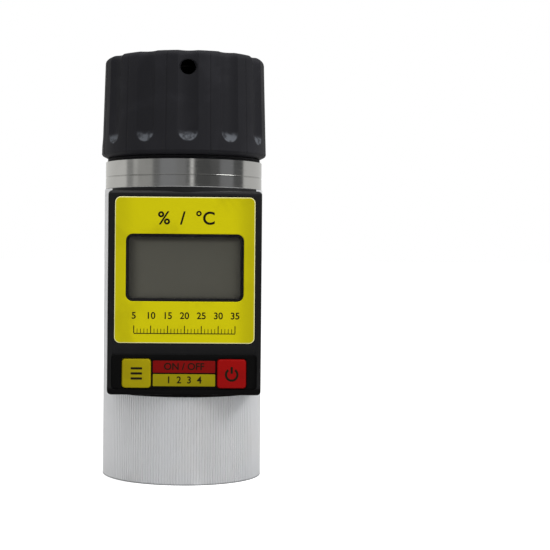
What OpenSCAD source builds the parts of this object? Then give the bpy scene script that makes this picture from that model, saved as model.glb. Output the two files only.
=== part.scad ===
// Cup type grain moisture meter. A ribbed tube carries a turned measuring cup in its top, a display
// housing on its front and the cells in its foot. A fluted screw cap with a sprung plate closes the cup.
// The front faces -Y, and the tube stands on Z = 0 with its axis on Z.

/* [Body tube] */
// Diameter of the tube over its ribs
tube_od = 76; // [74:1:84]
// Wall of the tube under the ribs
tube_wall = 2.6; // [2:0.2:3]
// Height of the tube
tube_h = 136.2; // [134:0.2:146]
// Number of ribs round the tube
rib_count = 180; // [120:12:204]
// Depth of the grooves between the ribs
rib_depth = 0.4; // [0.2:0.1:0.6]

/* [Measuring cup] */
// Height of the bright collar
collar_h = 13.8; // [10:0.2:18]
// How far the collar lies inside the tube's outline
collar_step = 0.4; // [0.2:0.1:0.8]
// Chamfer on the collar's upper edge
collar_chamfer = 0.8; // [0.5:0.1:1.5]
// Height of the turned line above the collar's lower edge
collar_line_h = 5.7; // [3:0.1:8]
// Height of the threaded neck above the collar
neck_h = 20; // [18:1:24]
// Wall of the neck under its thread
neck_wall = 3.5; // [3:0.1:4]
// Wall of the cup below the collar
cup_wall = 2.5; // [1.5:0.1:3]
// Depth of the cup from its rim to its floor
cup_depth = 79; // [70:1:84]
// Thickness of the cup's floor
cup_floor_t = 3; // [2:0.5:4]
// How deep the collar's spigot sits in the tube
spigot_h = 4; // [3:0.5:5]
// Height of the black seal ring under the cap
seal_h = 1; // [0.8:0.1:2.4]

/* [Thread] */
// Rise of the cap in one turn
thread_lead = 6; // [5:0.5:8]
// Height of the thread ridges
thread_ridge = 1.2; // [0.8:0.1:1.4]
// Width of a ridge at its foot
thread_foot_w = 2.4; // [1.8:0.1:2.6]
// Width of a ridge at its crest
thread_crest_w = 1.1; // [0.8:0.1:1.4]

/* [Electrode] */
// Diameter of the centre electrode
electrode_d = 16; // [12:1:20]
// Distance from the cup's rim down to the top of the electrode
electrode_sink = 20; // [18:1:30]
// Diameter of the electrode's stud
stud_d = 6; // [4:1:8]
// Distance of the temperature sensor from the axis
sensor_offset = 20; // [18:0.5:22]
// Diameter of the temperature sensor
sensor_d = 5; // [4:0.5:6]

/* [Cap] */
// How far the cap's rim stands out past the tube
cap_overhang = 1.6; // [1:0.1:3]
// Height of the cap
cap_h = 47.8; // [44:0.2:54]
// How far the cap's side leans in from rim to top
cap_taper = 1.2; // [0:0.1:1.4]
// Radius of the cap's upper edge
cap_round = 3; // [1:0.2:3.4]
// Width of the bevel under the rim
cap_bevel_w = 3; // [2:0.1:3.2]
// Height of the bevel under the rim
cap_bevel_h = 1.5; // [1:0.1:2.5]
// Thickness of the cap's top
cap_top_t = 3.6; // [3:0.2:5]
// Depth of the dish in the cap's top
cap_dish = 1.2; // [0.6:0.1:1.6]
// Number of flutes round the cap
flute_count = 12; // [8:1:14]
// Width of a flute
flute_w = 9.6; // [7:0.2:11]
// Depth of a flute
flute_depth = 2; // [1:0.1:2.4]
// Height of a flute's lower end above the cap's underside
flute_end_h = 6.2; // [4:0.2:10]
// Depth of the fine crease between two flutes
crease_depth = 0.25; // [0.1:0.05:0.4]
// Diameter of the cord hole in the side
cord_hole_d = 7; // [4:0.5:8]
// Distance of the cord hole below the cap's top
cord_hole_drop = 7.8; // [7:0.1:10]
// Angle at which the closed cap stops, from the front
cap_angle = 1.4; // [0:0.1:5]

/* [Pressing gear] */
// Travel of the pressure plate
press_travel = 4; // [2:0.5:5]
// Thickness of the pressure plate
plate_t = 3; // [2:0.5:4]
// Distance of the plate's underside below the cup's rim
plate_sink = 12.5; // [10:0.5:15]
// Gap between the plate and the cup's wall
plate_gap = 1; // [0.6:0.1:2]
// Diameter of the indicator stem
stem_d = 10; // [8:0.5:12]
// Wire of the pressure spring
spring_wire = 2.2; // [1.6:0.1:2.6]
// Diameter of the pressure spring at the middle of its wire
spring_d = 26; // [25:0.5:30]
// Number of turns of the pressure spring
spring_turns = 5; // [4:1:7]

/* [Display housing] */
// Width of the housing
housing_w = 70; // [64:0.2:74]
// Height of the housing's box
housing_h = 92.9; // [88:0.1:98]
// Distance of the box's top below the top of the tube
housing_drop = 1.8; // [1.4:0.1:4]
// How far the flat front stands out past the tube
housing_stand = 1.6; // [1.4:0.1:4]
// Thickness of the housing's front wall
front_wall = 2; // [1.8:0.1:2.4]
// Thickness of the saddle that follows the tube
saddle_t = 1.2; // [0.8:0.1:1.4]
// How far the saddle reaches past the box at its lower end
saddle_drop = 1.1; // [1:0.1:3]
// Radius of the box's upper front edge
brow_round = 2; // [1:0.1:2.4]
// Radius of the box's corners, seen from the front
housing_corner = 2; // [1:0.1:3]

/* [Face label and display] */
// Width of the black border at each side of the face label
label_margin = 3.1; // [2:0.1:4]
// Height of the plain strip between the label and the keypad
label_gap = 5; // [3:0.1:6]
// Distance of the label below the box's top
label_drop = 2.9; // [2.2:0.1:3.4]
// Thickness of the label
label_t = 0.5; // [0.3:0.1:0.8]
// Corner radius of the label
label_corner = 2.6; // [1:0.1:4]
// Width of the label at each side of its window
window_margin = 5.05; // [5:0.05:7]
// Height of the window in the label
window_h = 30.7; // [28:0.1:32]
// Distance of the window below the label's top
window_drop = 16.8; // [15:0.1:19]
// Corner radius of the window
window_corner = 3.2; // [2:0.1:4]
// How far the label covers the lens all round
lens_lap = 1.2; // [0.8:0.1:1.6]
// Thickness of the lens
lens_t = 1; // [0.8:0.1:1.2]
// Width of the black ledge that shows round the display
ledge_w = 1.4; // [1:0.1:2]
// Thickness of the display glass
lcd_t = 2.6; // [2:0.1:3]
// Height of the contact strips behind the display
zebra_t = 0.6; // [0.5:0.1:1]
// Thickness of the circuit board
board_t = 1.6; // [1:0.2:2]

/* [Keypad] */
// Side of the square keys
key_side = 13.1; // [12:0.1:14]
// Distance of the keys from the sides of the keypad recess
key_margin = 5; // [4.2:0.1:6]
// Distance of the keys above the lower edge of the recess
key_rise = 0.8; // [0.6:0.1:1.4]
// Distance of the keys below the upper edge of the recess
key_drop = 2.2; // [2:0.1:4]
// Corner radius of the keys
key_corner = 1.5; // [0.5:0.1:2.5]
// How far the keys stand out past the front
key_stand = 0.5; // [0.2:0.1:1]
// Travel of the keys
key_travel = 0.5; // [0.3:0.1:0.6]
// Width of the black border at each side of the keypad recess
recess_margin = 1.8; // [1.4:0.1:3]
// Depth of the keypad recess
recess_depth = 0.8; // [0.6:0.1:1]
// Height of the recess's lower edge above the box's underside
recess_rise = 2.4; // [1:0.1:3]
// Thickness of the keypad panel
panel_t = 0.4; // [0.3:0.1:0.6]
// Height of the coloured strips between the keys
strip_h = 5.5; // [4:0.1:6]
// Gap round the coloured strips
strip_gap = 0.6; // [0.3:0.1:0.8]

/* [Foot and cells] */
// Distance of the base plate above the table
base_rise = 0.8; // [0.4:0.1:1.5]
// Thickness of the base plate
base_t = 6.2; // [5.8:0.2:8]
// Diameter of the battery lid
lid_d = 43.2; // [41:0.2:48]
// Thickness of the battery lid's face
lid_t = 2.6; // [2:0.2:3]
// Reach of the lid's bayonet lugs
lug_reach = 2; // [1.2:0.2:3]
// Turn of the lid from locked to free
lid_turn = 45; // [30:5:60]
// Diameter of one cell
cell_d = 10.5; // [10:0.1:11]
// Length of one cell without its nub
cell_l = 43.7; // [43:0.1:45]

/* [Hidden] */
$fn = 96;

// Reach of a cut past the surface it opens
over = 1;
// Gap between pieces that are pushed together
push_gap = 0.1;
// Gap between pieces that move past each other
run_gap = 0.3;
// Number of straight steps in a quarter round
round_steps = 6;

// Distance from a circle's middle to a chord of this half width, 0 for one wider than the circle
function chord_depth(r, half) = sqrt(max(0, r * r - half * half));

// Tube
tube_r = tube_od / 2;
rib_root_r = tube_r - rib_depth;
tube_in_r = rib_root_r - tube_wall;
rib_angle = 360 / rib_count;
rib_crest_share = 0.5;
rib_root_share = 0.2;

// Depth of the display stack, from the flat front inwards
front_y = -(tube_r + housing_stand);
wall_y = front_y + front_wall;
lens_back_y = front_y + lens_t;
lcd_gap = 0.2;
lcd_y = wall_y + lcd_gap;
lcd_back_y = lcd_y + lcd_t;
board_y = lcd_back_y + zebra_t;
board_back_y = board_y + board_t;

// Measuring cup, as wide as the display stack leaves it
cup_gap = 0.6;
cup_r = -board_back_y - cup_gap;
cup_bore_r = cup_r - cup_wall;
neck_r = cup_bore_r + neck_wall;
collar_r = tube_r - collar_step;
collar_top = tube_h + collar_h;
rim_z = collar_top + neck_h;
floor_z = rim_z - cup_depth;
floor_under_z = floor_z - cup_floor_t;
spigot_r = tube_in_r - push_gap;
collar_line = 0.3;

// Thread
thread_gap = 0.5;
thread_sink = 0.6;
thread_crest_r = neck_r + thread_ridge;
cap_bore_r = thread_crest_r + thread_gap;
thread_steps = 36;
thread_fade = 4;
neck_thread_z = collar_top + seal_h + run_gap + thread_foot_w;
neck_thread_turns = 1.8;
cap_thread_z = neck_thread_z + thread_lead / 2;
cap_thread_turns = 1.2;

// Seal
seal_in_r = neck_r + push_gap;
seal_r = collar_r - collar_chamfer - push_gap;
seal_gap = 0.2;

// Cap
cap_r = tube_r + cap_overhang;
cap_z = collar_top + seal_h + seal_gap;
cap_top = cap_z + cap_h;
cap_top_r = cap_r - cap_taper;
cap_ceiling = cap_top - cap_top_t;
cap_lean = atan(cap_taper / (cap_h - cap_bevel_h));
dish_margin = 8;
dish_z = cap_top - cap_dish;
dish_r = cap_top_r - dish_margin;
flute_chord = flute_w / 2;
flute_bow = cap_r - sqrt(cap_r * cap_r - flute_chord * flute_chord);
flute_cut = flute_depth - flute_bow;
flute_r = (flute_chord * flute_chord + flute_cut * flute_cut) / (2 * flute_cut);
flute_axis = cap_r - flute_depth + flute_r;
flute_reach = sqrt(flute_r * flute_r - pow(flute_r - flute_depth, 2));
flute_ball_z = cap_z + flute_end_h + flute_reach;
cord_hole_z = cap_top - cord_hole_drop;

// Pressing gear
stem_r = stem_d / 2;
stem_gap = 0.1;
stem_clip_t = 1;
stem_clip_w = 2.4;
stem_groove = 0.8;
well_r = stem_r + stem_clip_w + run_gap;
boss_wall = 2;
boss_r = well_r + boss_wall;
boss_drop = 9;
boss_z = cap_ceiling - boss_drop;
stem_top = dish_z - press_travel;
clip_room = 1.2;
well_z = stem_top - stem_clip_t - run_gap - clip_room;
clip_z = well_z + run_gap;
plate_z = rim_z - plate_sink;
plate_r = cup_bore_r - plate_gap;
plate_top = plate_z + plate_t;
hub_wall = 3;
hub_r = stem_r + hub_wall;
hub_h = 3;
spring_r = spring_d / 2;
spring_out_r = spring_r + spring_wire / 2;
washer_t = 1.2;
washer_edge = 1;
washer_top = cap_ceiling - run_gap;
washer_z = washer_top - washer_t;
spring_low = plate_top + run_gap + spring_wire / 2;
spring_high = washer_z - run_gap - spring_wire / 2;
spring_steps = 8;
spring_sides = 6;

// Outline of the housing and what shows on its front
seat_gap = 0.1;
seat_r = tube_r + seat_gap;
saddle_r = tube_r + saddle_t;
saddle_inset = 1.2;
wing_edge = 0.7;
half_w = housing_w / 2;
housing_top = tube_h - housing_drop;
housing_z = housing_top - housing_h;
housing_back_y = -chord_depth(seat_r, half_w - wing_edge);
side_round = 0.8;
foot_round = 0.6;
recess_y = front_y + recess_depth;
recess_z = housing_z + recess_rise;
recess_w = housing_w - 2 * recess_margin;
recess_h = key_rise + key_side + key_drop;
recess_mid_z = recess_z + recess_h / 2;
recess_corner = 1.6;
label_w = housing_w - 2 * label_margin;
label_top = housing_top - label_drop;
label_z = recess_z + recess_h + label_gap;
label_h = label_top - label_z;
label_sink = 0.2;
label_y = front_y + label_sink - label_t;
window_w = label_w - 2 * window_margin;
window_top = label_top - window_drop;
window_mid_z = window_top - window_h / 2;
lens_w = window_w + 2 * lens_lap;
lens_h = window_h + 2 * lens_lap;

// Keypad
panel_margin = 0.3;
key_pitch = recess_w - key_side - 2 * key_margin;
key_z = recess_z + key_rise + key_side / 2;
key_y = front_y - key_stand;
key_hole_side = key_side + 2 * run_gap;
key_flange = 0.8;
key_flange_side = key_hole_side + 2 * key_flange;
key_flange_t = 0.5;
key_flange_y = wall_y + push_gap;
key_stop_y = key_flange_y + key_flange_t;
switch_tip_y = key_stop_y + key_travel + push_gap;
switch_side = 6;
switch_tip_r = 1.7;
switch_body_share = 0.7;
switch_body_t = (board_y - switch_tip_y) * switch_body_share;
strip_w = key_pitch - key_side - 2 * (run_gap + strip_gap);
strip_t = 0.4;
strip_y = recess_y - panel_t - strip_t;

// Display and board inside the housing
view_w = window_w - 2 * ledge_w;
view_h = window_h - 2 * ledge_w;
lcd_margin = 2.6;
lcd_w = view_w + 2 * lcd_margin;
lcd_h = view_h + 2 * lcd_margin;
bezel_wall = 1.8;
bezel_gap = 0.2;
bezel_w = lcd_w + 2 * (bezel_gap + bezel_wall);
bezel_h = lcd_h + 2 * (bezel_gap + bezel_wall);
bezel_z = window_mid_z - bezel_h / 2;
zebra_h = 2.4;
cavity_gap = 0.45;
cavity_head = 9.9;
cavity_w = bezel_w + 2 * cavity_gap;
cavity_z = key_z - key_flange_side / 2 - run_gap;
cavity_top = housing_top - cavity_head;
opening_gap = 1;
opening_w = 2 * (chord_depth(tube_r, board_back_y) + opening_gap);
board_margin = 1.2;
board_w = cavity_w - 2 * board_margin;
board_z = cavity_z + board_margin;
board_top = cavity_top - board_margin;
board_screw_inset = 3;
board_screw_r = 0.9;
board_head_r = 1.9;
board_head_t = 1.3;
board_boss_r = 2.4;
board_screw_l = 4.4;
boss_clear = 1;
board_screw_xs = [-1, 1] * (board_w / 2 - board_screw_inset);
key_room_top = key_z + key_flange_side / 2 + run_gap;
board_screw_zs = [key_room_top + board_boss_r + boss_clear, board_top - board_screw_inset];
housing_screw_r = 1.25;
housing_head_r = 2.5;
housing_head_t = 1.4;
housing_screw_l = 8;
housing_boss_r = 3;
housing_screw_x = opening_w / 2 + housing_boss_r + push_gap;
housing_screw_zs = [bezel_z - housing_boss_r - boss_clear, (cavity_top + housing_top) / 2];
head_seat_y = -chord_depth(tube_in_r, housing_screw_x);

// Foot and cells
base_r = tube_in_r - push_gap;
base_top = base_rise + base_t;
lid_r = lid_d / 2;
lid_hole_r = lid_r + run_gap;
lid_top = base_rise + lid_t;
lug_t = 1.6;
lug_count = 3;
lug_angle = 24;
lug_play = 6;
lug_z = lid_top + run_gap;
lid_step = 1.4;
spigot_lid_r = lid_r - lid_step;
lid_spigot_h = lug_t + 2 * run_gap;
lug_r = lid_hole_r + lug_reach;
groove_r = lug_r + run_gap;
groove_z = lid_top;
groove_h = lug_t + 2 * run_gap;
coin_slot = [18, 2.2, 1.4];
lid_back_z = lid_top + lid_spigot_h;
cell_r = cell_d / 2;
cell_gap = 0.2;
cell_web = 1.6;
cell_axis = (cell_d + 2 * cell_gap + cell_web) / 2;
frame_lip = 0.9;
spine_lip = 1.4;
frame_r = cell_axis * sqrt(2) + cell_r + cell_gap + frame_lip;
spine_r = cell_axis * sqrt(2) + spine_lip;
frame_plate_t = 2.2;
contact_t = 0.5;
contact_inset = 1;
nub_h = 0.8;
nub_r = 1.9;
pad_t = 1.2;
pad_inset = 2;
pad_r = frame_r - pad_inset;
frame_z = lid_back_z + pad_t + run_gap;
cell_z = frame_z + frame_plate_t + contact_t + cell_gap;
cell_top = cell_z + cell_l;
frame_top = cell_top + nub_h + cell_gap + contact_t + frame_plate_t;
well_gap = 0.4;
battery_well_r = frame_r + well_gap;
battery_well_wall = 1.6;
battery_well_top = frame_top + well_gap;
lead_hole_r = 3;
lead_hole_place = [9, -5];
cell_places = [for (x = [-1, 1], y = [-1, 1]) [x * cell_axis, y * cell_axis]];

// Electrode
electrode_r = electrode_d / 2;
stud_r = stud_d / 2;
electrode_top = rim_z - electrode_sink;
bush_flange_w = 5;
bush_flange_r = electrode_r + bush_flange_w;
bush_flange_t = 3;
bush_wall = 3;
bush_r = stud_r + bush_wall;
bush_drop = 2;
electrode_z = floor_z + bush_flange_t;
electrode_round = 3;
nut_washer_edge = 2;
nut_washer_r = bush_r + nut_washer_edge;
nut_washer_t = 1;
nut_wall = 2.8;
nut_r = stud_r + nut_wall;
nut_h = 4;
nut_washer_z = floor_under_z - bush_drop - nut_washer_t;
nut_z = nut_washer_z - nut_h;
stud_tail = 2;
stud_end_z = nut_z - stud_tail;
sensor_r = sensor_d / 2;
sensor_rise = 8;
sensor_flange_t = 1.2;
sensor_flange_w = 2;
sensor_tail = 3;

// Leads and the plugs on the back of the board
lead_r = 0.8;
lead_sides = 8;
plug_t = 3;
plug_h = 4;
plug_y = board_back_y + plug_t;
electrode_plug_x = -2;
electrode_plug_w = 5;
electrode_plug_z = stud_end_z - 4;
electrode_route = [
  [0, 0, stud_end_z], [0, 0, stud_end_z - 1.6], [-0.3, -1.6, stud_end_z - 2.8], [-0.8, -5, stud_end_z - 3.4],
  [-1.4, -12, stud_end_z - 3.8], [electrode_plug_x, -20, electrode_plug_z],
  [electrode_plug_x, plug_y + plug_t, electrode_plug_z], [electrode_plug_x, plug_y, electrode_plug_z]
];
battery_plug_x = 14;
battery_plug_w = 8;
battery_plug_z = battery_well_top + 3;
battery_lead_pitch = 2.4;
battery_route = [
  concat(lead_hole_place, frame_top + push_gap), concat(lead_hole_place, battery_well_top + 2.4),
  [9.6, -6.6, battery_well_top + 3.8], [11, -11, battery_well_top + 4.4], [12.6, -17, battery_well_top + 4],
  [13.6, -22, battery_well_top + 3.4], [battery_plug_x, plug_y + plug_t, battery_plug_z],
  [battery_plug_x, plug_y, battery_plug_z]
];

// Chips on the back of the board, one above the other, from the lowest up
chip_x = -13;
chip_rise = 6;
chip_gap = 3;
driver_size = [8, 1.4, 4];
processor_size = [10, 1.6, 10];
converter_size = [12, 2.6, 6];
regulator_size = [6, 2, 3];

// Points of a quarter round about [x, y], from angle a
function quarter(x, y, r, a) =
  [for (i = [0 : round_steps]) let (t = a + 90 * i / round_steps) [x + r * cos(t), y + r * sin(t)]];

// Outline of a rectangle about the origin with round corners
function round_rect(w, h, r) = concat(
  quarter(w / 2 - r, h / 2 - r, r, 0),
  quarter(r - w / 2, h / 2 - r, r, 90),
  quarter(r - w / 2, r - h / 2, r, 180),
  quarter(w / 2 - r, r - h / 2, r, 270)
);

// Triangles that close a tube of rings, each with the same number of sides
function tube_faces(rings, sides) = concat(
  [for (i = [0 : rings - 2], j = [0 : sides - 1], half = [0, 1])
    let (a = i * sides + j, b = i * sides + (j + 1) % sides, c = b + sides, d = a + sides)
    half == 0 ? [a, b, c] : [a, c, d]],
  [for (j = [1 : sides - 2]) [0, j + 1, j]],
  [for (j = [1 : sides - 2]) let (e = (rings - 1) * sides) [e, e + j, e + j + 1]]
);

// Rings of a section swept up a helix about Z. The section's [out, up] points run anticlockwise.
function helix_points(section, r, z, lead, turns, steps, start, fade) =
  let (rings = ceil(turns * steps))
  [for (i = [0 : rings], p = section)
    let (
      a = start + 360 * turns * i / rings,
      ease = min(1, (i + 1) / fade, (rings + 1 - i) / fade),
      d = r + p[0] * ease
    )
    [d * cos(a), d * sin(a), z + lead * turns * i / rings + p[1]]];

// Rings of a round wire along a route that never runs along X
function wire_points(route, r, sides) =
  [for (i = [0 : len(route) - 1], j = [0 : sides - 1])
    let (
      ahead = route[min(i + 1, len(route) - 1)] - route[max(i - 1, 0)],
      t = ahead / norm(ahead),
      n = cross(t, [1, 0, 0]) / norm(cross(t, [1, 0, 0])),
      b = cross(t, n),
      a = 360 * j / sides
    )
    route[i] + r * (cos(a) * n + sin(a) * b)];

module helix(section, r, z, lead, turns, steps, start = 0, fade = 1) {
  points = helix_points(section, r, z, lead, turns, steps, start, fade);
  polyhedron(points, tube_faces(ceil(turns * steps) + 1, len(section)));
}

module wire(route) {
  polyhedron(wire_points(route, lead_r, lead_sides), tube_faces(len(route), lead_sides));
}

// A plate with this outline in X and Z, from y inwards by t, about [x, z]
module plate(outline, y, t, x = 0, z = 0) {
  translate([x, y + t, z]) rotate([90, 0, 0]) linear_extrude(t) polygon(outline);
}

// A round bar along Y from y inwards by l, about [x, z]
module bar(r, y, l, x, z) {
  translate([x, y + l, z]) rotate([90, 0, 0]) cylinder(r = r, h = l);
}

module ring(r_out, r_in, h, z) {
  translate([0, 0, z]) difference() {
    cylinder(r = r_out, h = h);
    translate([0, 0, -over]) cylinder(r = r_in, h = h + 2 * over);
  }
}

module at_board_screws() {
  for (x = board_screw_xs, z = board_screw_zs) translate([x, 0, z]) children();
}

module at_housing_screws() {
  for (x = [-1, 1], z = housing_screw_zs) translate([x * housing_screw_x, 0, z]) children();
}

module body_tube() {
  crest = rib_angle * rib_crest_share / 2;
  root = rib_angle * (1 - rib_root_share) / 2;
  outline = [for (i = [0 : rib_count - 1], p = [[tube_r, -crest], [tube_r, crest], [rib_root_r, root],
    [rib_root_r, rib_angle - root]]) p[0] * [cos(i * rib_angle + p[1]), sin(i * rib_angle + p[1])]];
  opening_back_y = over - chord_depth(tube_in_r, opening_w / 2);
  color("silver") difference() {
    linear_extrude(tube_h) polygon(outline);
    translate([0, 0, -over]) cylinder(r = tube_in_r, h = tube_h + 2 * over);
    translate([-opening_w / 2, -tube_od, cavity_z - opening_gap])
      cube([opening_w, tube_od + opening_back_y, cavity_top - cavity_z + 2 * opening_gap]);
    at_housing_screws() {
      bar(housing_screw_r + push_gap, -tube_od, tube_od, 0, 0);
      bar(housing_head_r + push_gap, head_seat_y, tube_r / 2, 0, 0);
    }
  }
}

module measuring_cup() {
  line_z = tube_h + collar_line_h;
  profile = [
    [bush_r + push_gap, floor_under_z], [cup_r, floor_under_z], [cup_r, tube_h - spigot_h],
    [spigot_r, tube_h - spigot_h], [spigot_r, tube_h], [collar_r, tube_h],
    [collar_r, line_z - collar_line], [collar_r - collar_line, line_z], [collar_r, line_z + collar_line],
    [collar_r, collar_top - collar_chamfer], [collar_r - collar_chamfer, collar_top], [neck_r, collar_top],
    [neck_r, rim_z], [cup_bore_r, rim_z],
    [cup_bore_r, floor_z], [bush_r + push_gap, floor_z]
  ];
  ridge = [
    [-thread_sink, -thread_foot_w / 2], [thread_ridge, -thread_crest_w / 2],
    [thread_ridge, thread_crest_w / 2], [-thread_sink, thread_foot_w / 2]
  ];
  color("lightgray") difference() {
    union() {
      rotate_extrude() polygon(profile);
      helix(ridge, neck_r, neck_thread_z, thread_lead, neck_thread_turns, thread_steps, 0, thread_fade);
    }
    translate([0, sensor_offset, floor_under_z - over])
      cylinder(r = sensor_r + push_gap, h = cup_floor_t + 2 * over);
  }
}

module neck_seal() {
  color("#101012") ring(seal_r, seal_in_r, seal_h, collar_top);
}

module centre_electrode() {
  dome = quarter(electrode_r - electrode_round, electrode_top - electrode_round, electrode_round, 0);
  color("gainsboro") rotate_extrude() polygon(concat(
    [[0, stud_end_z], [stud_r, stud_end_z], [stud_r, electrode_z], [electrode_r, electrode_z]],
    dome, [[0, electrode_top]]));
}

module electrode_insulator() {
  color("ivory") rotate_extrude() polygon([
    [stud_r + push_gap, floor_under_z - bush_drop], [bush_r, floor_under_z - bush_drop], [bush_r, floor_z],
    [bush_flange_r, floor_z], [bush_flange_r, electrode_z], [stud_r + push_gap, electrode_z]
  ]);
}

module electrode_nut() {
  color("darkgray") {
    ring(nut_washer_r, stud_r + push_gap, nut_washer_t, nut_washer_z);
    translate([0, 0, nut_z]) difference() {
      cylinder(r = nut_r, h = nut_h, $fn = 6);
      translate([0, 0, -over]) cylinder(r = stud_r + push_gap, h = nut_h + 2 * over);
    }
  }
}

module temperature_sensor() {
  tip = quarter(0, floor_z + sensor_rise - sensor_r, sensor_r, 0);
  flange_z = floor_under_z - sensor_flange_t;
  flange_r = sensor_r + sensor_flange_w;
  color("gainsboro") translate([0, sensor_offset, 0]) rotate_extrude() polygon(concat(
    [[0, flange_z - sensor_tail], [sensor_r, flange_z - sensor_tail], [sensor_r, flange_z],
      [flange_r, flange_z], [flange_r, floor_under_z], [sensor_r, floor_under_z]], tip));
}

// The box of the housing: its outlines from the front, from the side and from above
module housing_box() {
  mid_z = housing_z + housing_h / 2;
  depth = housing_back_y - front_y;
  intersection() {
    plate(round_rect(housing_w, housing_h, housing_corner), front_y, depth, 0, mid_z);
    translate([-half_w - over, 0, 0]) rotate([90, 0, 90]) linear_extrude(housing_w + 2 * over) polygon(concat(
      [[housing_back_y + over, housing_z - over], [housing_back_y + over, housing_top]],
      quarter(front_y + brow_round, housing_top - brow_round, brow_round, 90),
      quarter(front_y + foot_round, housing_z + foot_round, foot_round, 180)));
    translate([0, 0, housing_z - over]) linear_extrude(housing_h + 2 * over) polygon(concat(
      [[half_w, housing_back_y + over], [-half_w, housing_back_y + over]],
      quarter(side_round - half_w, front_y + side_round, side_round, 180),
      quarter(half_w - side_round, front_y + side_round, side_round, 270)));
  }
}

module saddle() {
  reach = half_w - saddle_inset;
  bottom = housing_z - saddle_drop;
  intersection() {
    translate([0, 0, bottom]) cylinder(r = saddle_r, h = tube_h - bottom);
    translate([-reach, front_y - over, bottom - over]) cube([2 * reach, tube_r, tube_h]);
  }
}

module display_housing() {
  view = round_rect(view_w, view_h, window_corner - ledge_w);
  color("#19191b") difference() {
    union() {
      difference() {
        union() {
          housing_box();
          saddle();
        }
        translate([-cavity_w / 2, wall_y, cavity_z]) cube([cavity_w, tube_od, cavity_top - cavity_z]);
      }
      at_board_screws() bar(board_boss_r, wall_y - over, board_y - wall_y + over, 0, 0);
      at_housing_screws() bar(housing_boss_r, wall_y - over, head_seat_y - wall_y + over, 0, 0);
    }
    translate([0, 0, -over]) cylinder(r = seat_r, h = tube_h + 2 * over);
    plate(round_rect(label_w + 2 * push_gap, label_h + 2 * push_gap, label_corner), front_y - over,
      label_sink + over, 0, label_z + label_h / 2);
    plate(round_rect(lens_w + 2 * push_gap, lens_h + 2 * push_gap, window_corner), front_y - over,
      lens_t + over, 0, window_mid_z);
    plate(view, front_y - over, front_wall + 2 * over, 0, window_mid_z);
    plate(round_rect(recess_w, recess_h, recess_corner), front_y - over, recess_depth + over, 0,
      recess_mid_z);
    for (side = [-1, 1]) plate(round_rect(key_hole_side, key_hole_side, key_corner), front_y - over,
      front_wall + 2 * over, side * key_pitch / 2, key_z);
    at_board_screws() bar(board_screw_r + push_gap, board_back_y - board_screw_l, board_screw_l, 0, 0);
    at_housing_screws() bar(housing_screw_r + push_gap, head_seat_y - housing_screw_l, housing_screw_l, 0, 0);
  }
}

module face_label() {
  color("#c8bc14") difference() {
    plate(round_rect(label_w, label_h, label_corner), label_y, label_t, 0, label_z + label_h / 2);
    plate(round_rect(window_w, window_h, window_corner), label_y - over, label_t + 2 * over, 0, window_mid_z);
  }
}

module window_lens() {
  lens_y = front_y + label_sink;
  color("lightcyan", 0.4) plate(round_rect(lens_w, lens_h, window_corner), lens_y, lens_back_y - lens_y,
    0, window_mid_z);
}

module lcd_glass() {
  color("#4c4a43") translate([-lcd_w / 2, lcd_y, window_mid_z - lcd_h / 2]) cube([lcd_w, lcd_t, lcd_h]);
}

module lcd_bezel() {
  inner_w = lcd_w + 2 * bezel_gap;
  inner_h = lcd_h + 2 * bezel_gap;
  depth = board_y - lcd_y;
  color("#202022") translate([0, lcd_y, window_mid_z]) difference() {
    translate([-bezel_w / 2, 0, -bezel_h / 2]) cube([bezel_w, depth, bezel_h]);
    translate([-inner_w / 2, -over, -inner_h / 2]) cube([inner_w, depth + 2 * over, inner_h]);
  }
}

module zebra_strips() {
  color("gray") for (side = [-1, 1])
    translate([-view_w / 2, lcd_back_y, window_mid_z + side * (lcd_h - zebra_h) / 2 - zebra_h / 2])
      cube([view_w, zebra_t, zebra_h]);
}

module main_board() {
  color("darkgreen") difference() {
    translate([-board_w / 2, board_y, board_z]) cube([board_w, board_t, board_top - board_z]);
    at_board_screws() bar(board_screw_r + push_gap, board_y - over, board_t + 2 * over, 0, 0);
    at_housing_screws() bar(housing_boss_r + run_gap, board_y - over, board_t + 2 * over, 0, 0);
  }
}

// A block of this size on the back of the board, about [x, z]
module chip(size, x, z) {
  translate([x - size[0] / 2, board_back_y, z - size[2] / 2]) cube(size);
}

module board_components() {
  processor_z = board_z + chip_rise + driver_size[2] + chip_gap + processor_size[2] / 2;
  converter_z = processor_z + (processor_size[2] + converter_size[2]) / 2 + chip_gap;
  color("#2a2a2c") {
    chip(driver_size, chip_x, board_z + chip_rise + driver_size[2] / 2);
    chip(processor_size, chip_x, processor_z);
    chip(converter_size, chip_x, converter_z);
    chip(regulator_size, chip_x, converter_z + (converter_size[2] + regulator_size[2]) / 2 + chip_gap);
    chip([electrode_plug_w, plug_t, plug_h], electrode_plug_x, electrode_plug_z);
    chip([battery_plug_w, plug_t, plug_h], battery_plug_x, battery_plug_z);
  }
}

module board_screws() {
  color("silver") at_board_screws() {
    bar(board_screw_r, board_back_y - board_screw_l, board_screw_l, 0, 0);
    bar(board_head_r, board_back_y, board_head_t, 0, 0);
  }
}

module key_switches() {
  color("#303032") for (side = [-1, 1]) {
    translate([side * key_pitch / 2 - switch_side / 2, board_y - switch_body_t, key_z - switch_side / 2])
      cube([switch_side, switch_body_t, switch_side]);
    bar(switch_tip_r, switch_tip_y, board_y - switch_tip_y, side * key_pitch / 2, key_z);
  }
}

module keypad_panel() {
  color("#0c0c0c") difference() {
    plate(round_rect(recess_w - 2 * panel_margin, recess_h - 2 * panel_margin, recess_corner),
      recess_y - panel_t, panel_t, 0, recess_mid_z);
    for (side = [-1, 1]) plate(round_rect(key_hole_side, key_hole_side, key_corner), front_y - over,
      front_wall + 2 * over, side * key_pitch / 2, key_z);
  }
}

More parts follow.
